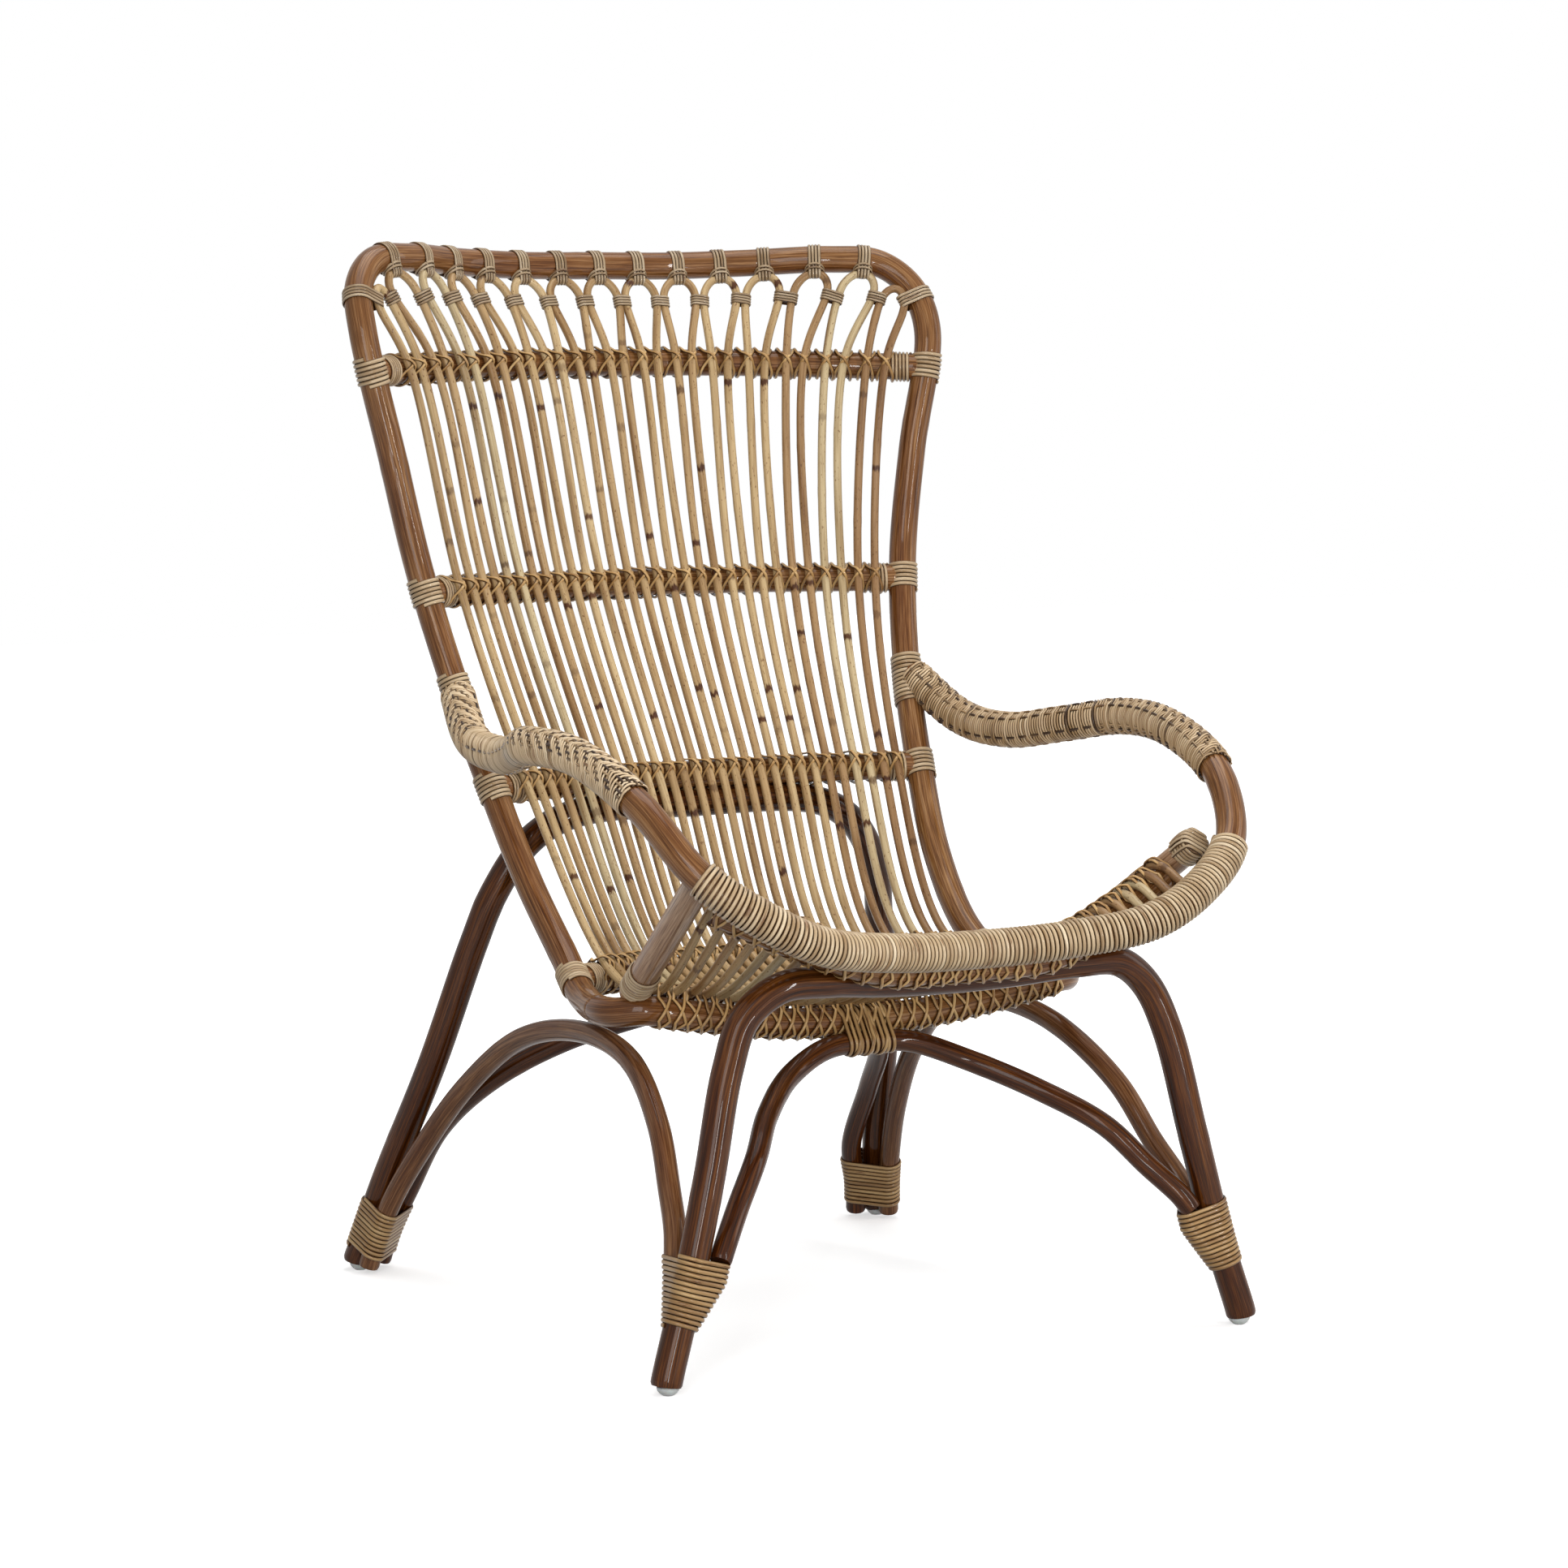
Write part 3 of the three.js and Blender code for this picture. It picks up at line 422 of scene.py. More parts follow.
def chain(name, paths, outs, tones=None, girths=None):
    """Edges along the paths, with the layers that the trees read. Each path's grain starts anywhere."""
    mesh = bpy.data.meshes.new(name + "_chain")
    edges, first = [], 0
    for path in paths:
        edges += [(first + i, first + i + 1) for i in range(len(path) - 1)]
        first += len(path)
    mesh.from_pydata(np.concatenate(paths).tolist(), edges, [])
    tones = chance.random(len(paths)) if tones is None else tones
    tones = [np.full(len(path), tone) for path, tone in zip(paths, tones)]
    girths = [np.ones(len(path)) for path in paths] if girths is None else girths
    runs = [lengths(path) + GRAIN_SHIFT * chance.random() for path in paths]
    for label, values in (("run", runs), ("girth", girths), ("tone", tones)):
        layer = mesh.attributes.new(label, "FLOAT", "POINT")
        layer.data.foreach_set("value", np.concatenate(values).astype(np.float32))
    way = mesh.attributes.new("out", "FLOAT_VECTOR", "POINT")
    way.data.foreach_set("vector", np.concatenate(outs).astype(np.float32).ravel())
    return hang(name + "_chain", mesh)


def level_outs(path):
    """A steady way out along a path: as near to +X as the path allows at its start, then carried on."""
    ways = unit(np.gradient(path, axis=0))
    start = (1, 0, 0) if abs(ways[0][0]) < 0.8 else (0, 0, 1)
    outs = [square(np.array(start, float), ways[0])]
    for way in ways[1:]:
        outs.append(square(outs[-1], way))
    return np.array(outs)


print("each strand's grain is shifted by up to", GRAIN_SHIFT, "m")


# %% Pieces
def grow(chained, tree, **inputs):
    """The mesh that a tree makes of a chain."""
    worker = chained.modifiers.new("grow", "NODES")
    worker.node_group = tree
    for item in tree.interface.items_tree:
        if item.in_out == "INPUT" and item.name in inputs:
            worker[item.identifier] = inputs[item.name]
    ready = chained.evaluated_get(bpy.context.evaluated_depsgraph_get())
    mesh = bpy.data.meshes.new_from_object(ready)
    bpy.data.objects.remove(chained)
    return mesh


def settle(name, mesh, slot, *nodes):
    """Makes a mesh a piece of the chair, in place of the named frame nodes."""
    mesh.name = name
    piece = hang(name, mesh)
    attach(piece, "root")
    if nodes:
        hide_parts(*nodes)
    return piece


def joined(meshes):
    """Several meshes with the same layers as one."""
    held = [hang("part", mesh) for mesh in meshes]
    with bpy.context.temp_override(
        active_object=held[0], selected_editable_objects=held, selected_objects=held
    ):
        bpy.ops.object.join()
    mesh = held[0].data
    bpy.data.objects.remove(held[0])
    return mesh


print("piece helpers ready")

# %% [markdown]
# ## Finishes
# The poles are rattan with the skin on, stained brown and lacquered: a glossy coat over dark streaks
# that run along the pole. The legs took most stain, then the side arches, then the frame, and the
# struts least. The rods are thin rattan left pale, no two alike, with dark rings where leaves grew.
# Cane is golden, with dark nicks, and with painted shade on its edges where they dip between two
# strands.
# Each finish reads the grain, so its noise is drawn out along the strand and never slides.

# %% Helpers for finishes
PLAIN = (1, 1, 1)


def bare_finish(name, **skin_values):
    made = bpy.data.materials.new(name)
    tree = cleared(made)
    feeds = ((label.replace("_", " "), value) for label, value in skin_values.items())
    skin = put(tree, "ShaderNodeBsdfPrincipled", *feeds)
    put(tree, "ShaderNodeOutputMaterial", (0, skin.outputs[0]))
    return made, tree, skin


def layer_of(tree, name, output):
    return put(tree, "ShaderNodeAttribute", attribute_name=name).outputs[output]


def fibre(tree, along, across, detail=3.0, roughness=0.55, shift=0.0):
    """Noise drawn out along the grain: so many waves a metre along it and across it."""
    grain = layer_of(tree, "grain", "Vector")
    drawn = vector_sums(tree, "MULTIPLY_ADD", grain, (along, across, across), (shift, shift, 0))
    return put(
        tree, "ShaderNodeTexNoise", ("Vector", drawn), ("Scale", 1.0), ("Detail", detail),
        ("Roughness", roughness),
    ).outputs["Fac"]


def ramp(tree, source, *stops):
    made = put(tree, "ShaderNodeValToRGB", (0, source))
    band = made.color_ramp
    while len(band.elements) < len(stops):
        band.elements.new(0.5)
    for element, (where, colour) in zip(band.elements, stops):
        element.position = where
        element.color = (*colour, 1) if len(colour) == 3 else (colour[0],) * 3 + (1,)
    return made.outputs["Color"]


def darken(tree, colour, amount, shade):
    """A colour times a shade, by an amount."""
    feeds = (0, amount), (6, colour), (7, shade)
    return put(tree, "ShaderNodeMix", *feeds, data_type="RGBA", blend_type="MULTIPLY").outputs[2]


def rough_and_bumped(tree, skin, source, low, high, height, strength=0.3):
    spread = put(tree, "ShaderNodeMapRange", ("Value", source), ("To Min", low), ("To Max", high))
    tree.links.new(spread.outputs[0], skin.inputs["Roughness"])
    bump = put(tree, "ShaderNodeBump", ("Strength", strength), ("Distance", height), ("Height", source))
    tree.links.new(bump.outputs[0], skin.inputs["Normal"])


print("finish helpers:", fibre.__name__, ramp.__name__, darken.__name__, rough_and_bumped.__name__)


# %% Stained poles
def stained(name, dark, middle, light, patch, lacquer):
    made, tree, skin = bare_finish(
        name, Coat_Weight=lacquer, Coat_Roughness=0.04, Coat_IOR=1.5, Specular_IOR_Level=0.06
    )
    streaks = fibre(tree, 14, 520, 5.0, 0.62)
    colour = ramp(tree, streaks, (0.30, dark), (0.5, middle), (0.70, light))
    cloud = ramp(tree, fibre(tree, 5, 38, 2.0, 0.5, 11.0), (0.35, (0.85,)), (0.62, (0.0,)))
    colour = darken(tree, colour, cloud, (*patch, 1))
    hair = ramp(tree, fibre(tree, 30, 1500, 2.0, 0.5, 5.0), (0.36, (0.45, 0.36, 0.30)), (0.47, PLAIN))
    colour = darken(tree, colour, 0.8, hair)
    tree.links.new(colour, skin.inputs["Base Color"])
    rough_and_bumped(tree, skin, streaks, 0.26, 0.48, 0.0003, 0.12)
    return made


frame_stain = stained(
    "frame_stain", (0.085, 0.031, 0.008), (0.225, 0.098, 0.030),
    (0.43, 0.245, 0.110), (0.66, 0.52, 0.42), 0.3,
)
strut_stain = stained(
    "strut_stain", (0.20, 0.105, 0.050), (0.47, 0.29, 0.17),
    (0.68, 0.49, 0.33), (0.72, 0.60, 0.50), 0.3,
)
leg_stain = stained(
    "leg_stain", (0.020, 0.006, 0.001), (0.074, 0.021, 0.003),
    (0.19, 0.068, 0.014), (0.62, 0.46, 0.36), 0.25,
)
arch_stain = stained(
    "arch_stain", (0.060, 0.021, 0.006), (0.180, 0.078, 0.030),
    (0.32, 0.17, 0.08), (0.66, 0.52, 0.42), 0.25,
)
print("stains:", frame_stain.name, strut_stain.name, leg_stain.name, arch_stain.name)

# %% Pale rods
KNOTS_PER_METRE = 4.2


def rod_finish(name):
    made, tree, skin = bare_finish(name, Coat_Weight=0.2, Coat_Roughness=0.15, Specular_IOR_Level=0.15)
    colour = ramp(
        tree, layer_of(tree, "tone", "Fac"), (0.0, (0.24, 0.12, 0.050)), (0.18, (0.42, 0.265, 0.125)),
        (0.5, (0.52, 0.365, 0.182)), (0.8, (0.58, 0.425, 0.228)), (1.0, (0.55, 0.445, 0.262)),
    )
    cloud = ramp(tree, fibre(tree, 6, 90, 2.0), (0.34, (0.45, 0.33, 0.22)), (0.54, PLAIN))
    colour = darken(tree, colour, 0.8, cloud)
    streaks = fibre(tree, 24, 800, 3.0)
    colour = darken(tree, colour, 0.7, ramp(tree, streaks, (0.3, (0.55, 0.45, 0.36)), (0.5, PLAIN)))
    specks = fibre(tree, 260, 620, 1.0, 0.5, 3.0)
    colour = darken(tree, colour, 0.75, ramp(tree, specks, (0.66, PLAIN), (0.72, (0.34, 0.20, 0.12))))
    along = put(tree, "ShaderNodeSeparateXYZ", (0, layer_of(tree, "grain", "Vector"))).outputs["X"]
    wobble = sums(tree, "MULTIPLY", fibre(tree, 90, 330, 2.0), 0.05)
    knots = sums(tree, "MULTIPLY_ADD", along, KNOTS_PER_METRE, wobble)
    cells = put(
        tree, "ShaderNodeTexVoronoi", ("W", knots), ("Scale", 1.0), voronoi_dimensions="1D"
    ).outputs
    strong = ramp(tree, cells["Color"], (0.25, (0.3,)), (0.6, (1.0,)))
    rings = ramp(tree, cells["Distance"], (0.008, (0.17, 0.085, 0.05)), (0.019, PLAIN))
    colour = darken(tree, colour, strong, rings)
    tree.links.new(colour, skin.inputs["Base Color"])
    rough_and_bumped(tree, skin, streaks, 0.38, 0.58, 0.0002)
    return made


rod_straw = rod_finish("rod_straw")
print("rods:", rod_straw.name)


# %% Split cane
def cane_finish(name, dark, middle, light, nicks, edge_shade_height):
    """Nicks come where the noise passes a level, and painted shade darkens the skin where it dips below
    a given height.
    """
    made, tree, skin = bare_finish(name, Coat_Weight=0.3, Coat_Roughness=0.10, Specular_IOR_Level=0.15)
    spread = sums(tree, "MULTIPLY_ADD", layer_of(tree, "tone", "Fac"), 0.16, fibre(tree, 11, 90, 2.0))
    # The near-black lowest stop is painted shade: the weave's strips, whose tone is far below the rest,
    # reach it in place of the shade of the gaps where they dive.
    painted_gap_shade = (0.05, 0.025, 0.012)
    colour = ramp(tree, spread, (0.22, painted_gap_shade), (0.34, dark), (0.60, middle), (0.86, light))
    streaks = fibre(tree, 30, 1300, 2.0)
    colour = darken(tree, colour, 0.55, ramp(tree, streaks, (0.3, (0.55, 0.44, 0.34)), (0.52, PLAIN)))
    patches = fibre(tree, 26, 240, 3.0, 0.6, 8.0)
    patches = ramp(tree, patches, (nicks, PLAIN), (nicks + 0.05, (0.36, 0.22, 0.13)))
    colour = darken(tree, colour, 0.85, patches)
    # Painted shade: below a given height the skin's edges are darkened to near black, as if shaded in
    # the gaps between strands.
    height = put(tree, "ShaderNodeSeparateXYZ", (0, layer_of(tree, "grain", "Vector"))).outputs["Y"]
    above_painted_shade = put(tree, "ShaderNodeMapRange", ("Value", height), ("From Max", edge_shade_height)).outputs[0]
    colour = darken(tree, colour, 1.0, ramp(tree, above_painted_shade, (0.2, (0.10, 0.055, 0.03)), (0.95, PLAIN)))
    tree.links.new(colour, skin.inputs["Base Color"])
    rough_and_bumped(tree, skin, streaks, 0.30, 0.50, 0.00015)
    return made


cane_golden = cane_finish(
    "cane_golden", (0.30, 0.180, 0.080), (0.60, 0.450, 0.275), (0.80, 0.66, 0.46), 0.61, 0.0020
)
cane_weave = cane_finish(
    "cane_weave", (0.42, 0.278, 0.143), (0.73, 0.555, 0.350), (0.88, 0.735, 0.52), 0.64, 0.0014
)
cane_tie = cane_finish(
    "cane_tie", (0.28, 0.143, 0.047), (0.54, 0.330, 0.130), (0.72, 0.500, 0.236), 0.64, 0.0018
)
cane_foot = cane_finish(
    "cane_foot", (0.21, 0.105, 0.036), (0.43, 0.258, 0.105), (0.60, 0.412, 0.195), 0.60, 0.0020
)
print("canes:", cane_golden.name, cane_weave.name, cane_tie.name, cane_foot.name)

# %% [markdown]
# ## Poles of the frame
# Real rattan is never a perfect pipe: it swells a little at each old leaf ring and its cut ends are
# rounded off. So each pole gets a girth along its length. The paths are the frame's own routes,
# drawn again here with a smooth bend, and each pole stands for the frame node it covers.

# %% The pole helpers
# Radii in metres, and the small gap that is left between pieces that touch.
POLE, BAR, STRUT, HOOP = 0.014, 0.0135, 0.0135, 0.0145
RIM, LEG, ARCH, ROD = 0.014, 0.0145, 0.0105, 0.00425
CLEAR = 0.0003
HANDS = (("right", 1), ("left", -1))
TIP = 0.0025


def girth_of(path, ring_every=0.26, swell=0.014, rounding=TIP):
    """A slow wave, a swelling at each leaf ring and a rounding at both ends."""
    run = lengths(path)
    girth = 1 + 0.006 * np.sin(run * 21 + 9 * chance.random())
    for ring_at in np.arange(chance.random() * ring_every, run[-1], ring_every):
        girth += swell * np.exp(-(((run - ring_at) / 0.006) ** 2))
    nearest = np.minimum(run, run[-1] - run)
    return girth * np.where(nearest < rounding, 0.93 + 0.07 * nearest / rounding, 1)


def round_skin(name, path, radius, girth, corners, finish, tones=None):
    line = chain(name, [path], [level_outs(path)], tones, [girth])
    return grow(
        line, sweep, Width=2 * radius, Thickness=radius, Back=1.0, Corners=corners, Material=finish
    )


def pole(name, path, radius, finish, *nodes, corners=28):
    run = lengths(path)[-1]
    steps = np.arange(2 * TIP, run - STEP, STEP)
    tipped = walk(path, np.concatenate([[0, TIP], steps, [run - TIP, run]]))
    mesh = round_skin(name, tipped, radius, girth_of(tipped), corners, finish)
    return settle(name, mesh, "stained_pole", *nodes)


def pole_pair(name, path, radius, finish, **sizes):
    for hand, flip in HANDS:
        pole(f"{name}_{hand}_pole", path * (flip, 1, 1), radius, finish, f"{name}_{hand}", **sizes)


print("thickest pole", 2000 * max(POLE, HOOP, LEG), "mm, rods", 2000 * ROD, "mm")

# %% Back frame and lower seat hoop
loop_half = [
    at(0, 424, 1007), at(85, 419, 1007), at(165, 400, 1010), at(243, 357, 1014), at(290, 337, 1010),
    at(317, 314, 984), at(323, 292, 940), at(298, 281, 820), at(277, 265, 708), at(258, 226, 596),
    at(244, 179, 505), at(232, 123, 415), at(227, 55, 346), at(236, 0, 316), at(250, -84, 313),
    at(229, -108, 316), at(170, -113, 307), at(90, -111, 295), at(0, -110, 290),
]
seat_loop = bend(both_sides(loop_half))
right_loop = seat_loop[len(seat_loop) // 2 :]
splice = place(right_loop, 1, at(0, -56, 0)[1])
post = stretch(right_loop, 0, splice)
back_frame = both_sides(post)
lower_hoop = both_sides(stretch(right_loop, splice, lengths(right_loop)[-1])[::-1])
pole("back_frame_pole", back_frame, POLE, frame_stain, "back_frame")
pole("lower_hoop_pole", lower_hoop, POLE, frame_stain, "lower_seat_hoop")
print("back frame length", round(lengths(back_frame)[-1], 2), "m")

# %% Crossbars
INTO_POST = 0.008
BAR_POINTS = 81
bars, bar_at = {}, {}
for level, axis, value, bow, rise in (
    ("top", 2, 902, 105, 6), ("middle", 2, 686, 60, 0), ("lower", 2, 499, 36, 0),
    ("seat", 1, 28.5, 68, -8),
):
    bar_at[level] = place(post, axis, at(0, value, value)[axis])
    end = walk(post, bar_at[level])
    across = np.linspace(-1, 1, BAR_POINTS)[:, None]
    bowed = (1 - across**2) * np.array((0, bow, rise)) / 1000
    bar = end * (0, 1, 1) + across * end * (1, 0, 0) + bowed
    trimmed = stretch(bar, INTO_POST, lengths(bar)[-1] - INTO_POST)
    pole(f"crossbar_{level}_pole", trimmed, BAR, frame_stain, f"crossbar_{level}")
    bars[level] = bar
    print("crossbar", level, "ends at height", round(end[2], 3))

# %% Arm hoop
arm_joint = walk(post, place(post, 2, 0.594))
hoop_half = [
    at(0, -318, 382), at(91, -328, 386), at(178, -344, 400), at(237, -338, 428), at(285, -315, 465),
    at(312, -257, 522), at(323, -160, 559), at(327, -68, 564), at(303, -2, 553), at(285, 71, 542),
    arm_joint + (0.0193, -0.075, -0.044), arm_joint,
]
hoop = bend(both_sides(hoop_half))
arm = hoop[len(hoop) // 2 :]
hoop_length = lengths(hoop)[-1]
pole("arm_hoop_pole", stretch(hoop, INTO_POST, hoop_length - INTO_POST), HOOP, frame_stain, "arm_hoop")
print("hoop length", round(hoop_length, 2), "m")

# %% Rim rail and struts
WRAP = 0.018
RIM_HALF = 0.242


def tilted(degrees, reach):
    """A step back and down, square to the chair's width."""
    angle = math.radians(degrees)
    return reach * np.array((0, math.cos(angle), -math.sin(angle)))


hung = tilted(35, WRAP + RIM + CLEAR)
rim_steps = (hung, hung, (0, 0.053, -0.0025), (0, 0.0645, -0.0035), (0, 0.062, -0.016))
rim = bend(both_sides([point + step for point, step in zip(hoop_half, rim_steps)]))
rim_half = rim[len(rim) // 2 :]
rim = both_sides(stretch(rim_half, 0, place(rim_half, 0, RIM_HALF)))
pole("front_rim_pole", rim, RIM, frame_stain, "front_rim_rail")

strut = np.linspace(at(233, -90, 328), at(266, -292, 466), 61)
strut_end = lengths(strut)[-1] - 0.006
pole_pair("seat_strut", stretch(strut, 0.004, strut_end), STRUT, strut_stain)
print("rim length", round(lengths(rim)[-1], 2), "m, strut length", round(strut_end, 2), "m")

# %% [markdown]
# ## Legs and low arches
# Front and rear legs are two bent poles, each a bar with a leg at both ends. Four thinner arches
# brace them: one on each side, one in front and one behind. At a rear foot an arch stands beside the
# leg, so its last points are the leg's own, moved over by the two radii. At a front foot it runs
# straight on and ends inside the foot's wrap.

# %% Legs
front_leg_half = [
    rim[len(rim) // 2] + tilted(29, RIM + LEG + CLEAR), at(70, -270, 351.5), at(136, -281, 357),
    at(182, -281, 355), at(217, -277, 330), at(238, -282, 285), at(262, -290, 188), at(291, -296, 78),
    at(309, -300.7, 21), at(311.6, -301.4, 12), at(312.2, -301.5, 8.3),
]
bar_end = bars["lower"][-1]
rear_leg_half = [
    bars["lower"][BAR_POINTS // 2] - (0, 0, BAR + LEG + CLEAR), bar_end + (-0.103, 0.0305, -0.033),
    bar_end + (-0.057, 0.0355, -0.058), bar_end + (-0.025, 0.0465, -0.107),
    bar_end + (-0.010, 0.0625, -0.158), at(262, 274, 219), at(286, 331, 98), at(302.5, 358.2, 20.5),
    at(304.3, 361.3, 12), at(304.8, 362, 8.3),
]
front_leg = bend(both_sides(front_leg_half))
rear_leg = bend(both_sides(rear_leg_half))
pole("front_leg_pole", front_leg, LEG, leg_stain, "front_leg_arch")
pole("rear_leg_pole", rear_leg, LEG, leg_stain, "rear_leg_arch")
front_right = front_leg[len(front_leg) // 2 :]
rear_right = rear_leg[len(rear_leg) // 2 :]
for label, path in (("front", front_leg), ("rear", rear_leg)):
    print(label, "legs are one pole of", round(lengths(path)[-1], 2), "m")

# %% Low arches
BESIDE = LEG + ARCH + CLEAR
behind_leg, ahead_of_leg, inside_leg = np.array(((0, BESIDE, 0), (0, -BESIDE, 0), (-BESIDE, 0, 0)))


def by_leg(leg, height, offset):
    return walk(leg, place(leg, 2, height)) + offset


def by_rear(offset):
    return [
        by_leg(rear_right, 0.010, offset) * (1, 1, 0) + (0, 0, 0.007),
        by_leg(rear_right, 0.0397, offset), by_leg(rear_right, 0.0812, 1.2 * offset),
    ]


side_arch = bend([
    *by_rear(ahead_of_leg), at(276, 273, 132), at(258, 211, 201), at(242, 123, 260), at(232, 16, 281),
    at(236, -93, 268), at(252, -177, 220), at(264.5, -221, 168), at(274, -248.5, 137),
    by_leg(front_right, 0.113, 1.25 * behind_leg), by_leg(front_right, 0.104, 1.08 * behind_leg),
])
front_arch = bend(both_sides([
    loop_half[-1] + tilted(46, POLE + ARCH + CLEAR) * (1, -1, 1),
    at(45, -131, 270), at(97, -151, 251), at(149, -198, 224), at(190, -248, 194), at(223, -273, 156),
    by_leg(front_right, 0.1284, 1.2 * inside_leg),
    by_leg(front_right, 0.115, inside_leg) - (0, 0.005, 0),
]))
rear_arch = bend(both_sides([
    bars["seat"][BAR_POINTS // 2] + tilted(57, BAR + ARCH + CLEAR),
    at(91, 132, 274), at(168, 166, 248), at(220, 216, 209), at(248, 284, 152),
    *by_rear(inside_leg)[::-1],
]))
pole_pair("side_arch", side_arch, ARCH, arch_stain, corners=24)
pole("front_arch_pole", front_arch, ARCH, leg_stain, "front_arch", corners=24)
pole("rear_arch_pole", rear_arch, ARCH, leg_stain, "rear_arch", corners=24)
print("side arch length", round(lengths(side_arch)[-1], 2), "m")

# %% [markdown]
# ## Hairpins
# The back and the seat are fifteen thin rods, each bent double. The bend hangs on the top rail and
# the two ends run down in front of the crossbars, turn under the sitter, bend over the front rim
# and stop at the wrap of the front edge.
# A rod touches each bar, so its point there is the bar's centre moved out by both radii, square to
# the rod and to the bar. We find that way out three times over, as it depends on the points themselves.

# %% Where a rod passes the bars
# For each bar: its path, the room for one rod, the gap between a bend's two rods, and the bar's radius.
stations = (
    ("top", bars["top"], 0.0189, 0.0170, BAR), ("middle", bars["middle"], 0.0164, 0.0164, BAR),
    ("lower", bars["lower"], 0.0146, 0.0146, BAR), ("seat", bars["seat"], 0.0133, 0.0133, BAR),
    ("hoop", lower_hoop, 0.0146, 0.0146, POLE + 0.001), ("rim", rim, 0.0159, 0.0159, RIM),
)
crossings = {name: [] for name, *rest in stations}


def rod_points(number, leg, top):
    goals = [2 * number * spacing + leg * spread / 2 for _, _, spacing, spread, _ in stations]
    points = [walk(route, place(route, 0, goal)) for (_, route, *_), goal in zip(stations, goals)]
    for _ in range(3):
        front_edge = walk(hoop, place(hoop, 0, points[-1][0]))
        rod_end = front_edge + unit(points[-1] - front_edge) * (WRAP + 0.002)
        line = [top, *points, rod_end]
        seats = []
        for i, (name, route, _, _, radius) in enumerate(stations):
            run = heading(route, place(route, 0, goals[i]))
            way = unit(np.cross(line[i + 2] - line[i], run))
            reach = radius + ROD + CLEAR
            core = walk(route, place(route, 0, goals[i] - way[0] * reach))
            seats.append((name, core, way, run, reach))
            points[i] = core + way * reach
    for name, *seat in seats:
        crossings[name].append(seat)
    return np.array([*points, rod_end])


print("rods pass", len(stations), "bars each")

# %% Bend the hairpins
LOOPS_A_SIDE = 7
LOOP_SPACING = 0.0458
LOOP_SIZE, CORNER_LOOP_SIZE = (0.0176, 0.023), (0.013, 0.022)
DROP = math.radians(50)


def rail_hook(number):
    """Where a bend hangs under the top rail, the way to it from the rail, and the rail's run."""
    spot = place(post, 0, number * LOOP_SPACING)
    run = heading(post, spot) if number else np.array((1.0, 0, 0))
    down = square(np.array((0, 0, -1.0)), run)
    way = np.cross(down, run) * math.cos(DROP) + down * math.sin(DROP)
    return walk(post, spot) + way * (POLE + ROD + CLEAR), way, run


def corner_hook():
    way = unit((-0.3, -0.66, -0.69))
    run = unit((0.75, -0.6, -0.25))
    return (loop_half[4] + loop_half[5]) / 2 + way * (POLE + ROD + 0.0015), way, run


loops = []
rod_paths = []
for number in range(LOOPS_A_SIDE + 1):
    at_corner = number == LOOPS_A_SIDE
    apex, way, run = corner_hook() if at_corner else rail_hook(number)
    width, height = CORNER_LOOP_SIZE if at_corner else LOOP_SIZE
    inner, outer = rod_points(number, -1, apex), rod_points(number, 1, apex)
    below = unit((inner[0] + outer[0]) / 2 - apex)
    arc = np.pi * (1 - np.linspace(0, 1, 7))[:, None]
    arch = apex + below * height * (1 - np.sin(arc)) + run * width * np.cos(arc)
    rod_paths.append(bend([*inner[::-1], *arch, *outer], 0.0035))
    loops.append((apex, way, run, below, width, height))
for name, seats in crossings.items():
    seats += [
        (mirrored(core), mirrored(way), run * (1, -1, -1), reach) for core, way, run, reach in seats[2:]
    ]
print("bends drawn:", len(loops), "crossings of each bar:", len(crossings["top"]))

# %% Grow the hairpins
# Two rods by the right post are far darker than the rest.
tones = chance.random(2 * LOOPS_A_SIDE + 1) * 0.75 + 0.22
tones[[14, 12]] = 0.08, 0.14
for number, tone in zip(range(-LOOPS_A_SIDE, LOOPS_A_SIDE + 1), tones):
    path = rod_paths[abs(number)] * (-1 if number < 0 else 1, 1, 1)
    label = f"hairpin_{number + 8:02d}"
    mesh = round_skin(label, path, ROD, girth_of(path, 0.217, 0.05, 0.001), 12, rod_straw, [tone])
    settle(label + "_rod", mesh, "pale_rod", label)
print("hairpins:", len(tones))

# %% [markdown]
# ## Close turns of cane
# The front edge, the joints of the bars and the struts are bound with close turns. The winding tree
# does all of these from the line of the pole that is bound, a start, a pitch and a number of turns.
# The left side winds the mirrored line, so both sides of the chair agree.

# %% The binding helpers
CANE_CORNERS = 8


def bind(path, middle, turns, radius, pitch=0.0044, width=0.0044, thickness=0.0020):
    line = chain("bound", [path], [level_outs(path)])
    return grow(
        line, winding, Start=middle - turns * pitch / 2, Pitch=pitch, Turns=turns, Steps=26,
        Radius=radius + 0.0002, Width=width, Thickness=thickness, Corners=CANE_CORNERS,
        Material=cane_golden,
    )


def bind_both(name, path, middle, turns, radius):
    for hand, flip in HANDS:
        mesh = bind(path * (flip, 1, 1), middle, turns, radius)
        settle(f"{name}_{hand}_cane", mesh, "golden_cane", f"{name}_{hand}")


print("cane has", CANE_CORNERS, "corners round its section")

# %% Front wrap
WRAP_PITCH = 0.0046
CLIMB_FROM = 0.237
climbing = arm[:, 0] > CLIMB_FROM
wrap_end = place(arm[climbing], 1, at(0, -314, 0)[1]) + lengths(arm[~climbing])[-1]
wrap_line = both_sides(stretch(arm, 0, wrap_end))
wrap_length = lengths(wrap_line)[-1]
wrap_turns = math.floor(wrap_length / WRAP_PITCH)
mesh = bind(
    wrap_line, wrap_length / 2, wrap_turns, HOOP + 0.0008, pitch=WRAP_PITCH, width=0.88 * WRAP_PITCH,
    thickness=0.0026,
)
settle("front_wrap_cane", mesh, "golden_cane", "front_wrap")
print("front wrap turns:", wrap_turns)

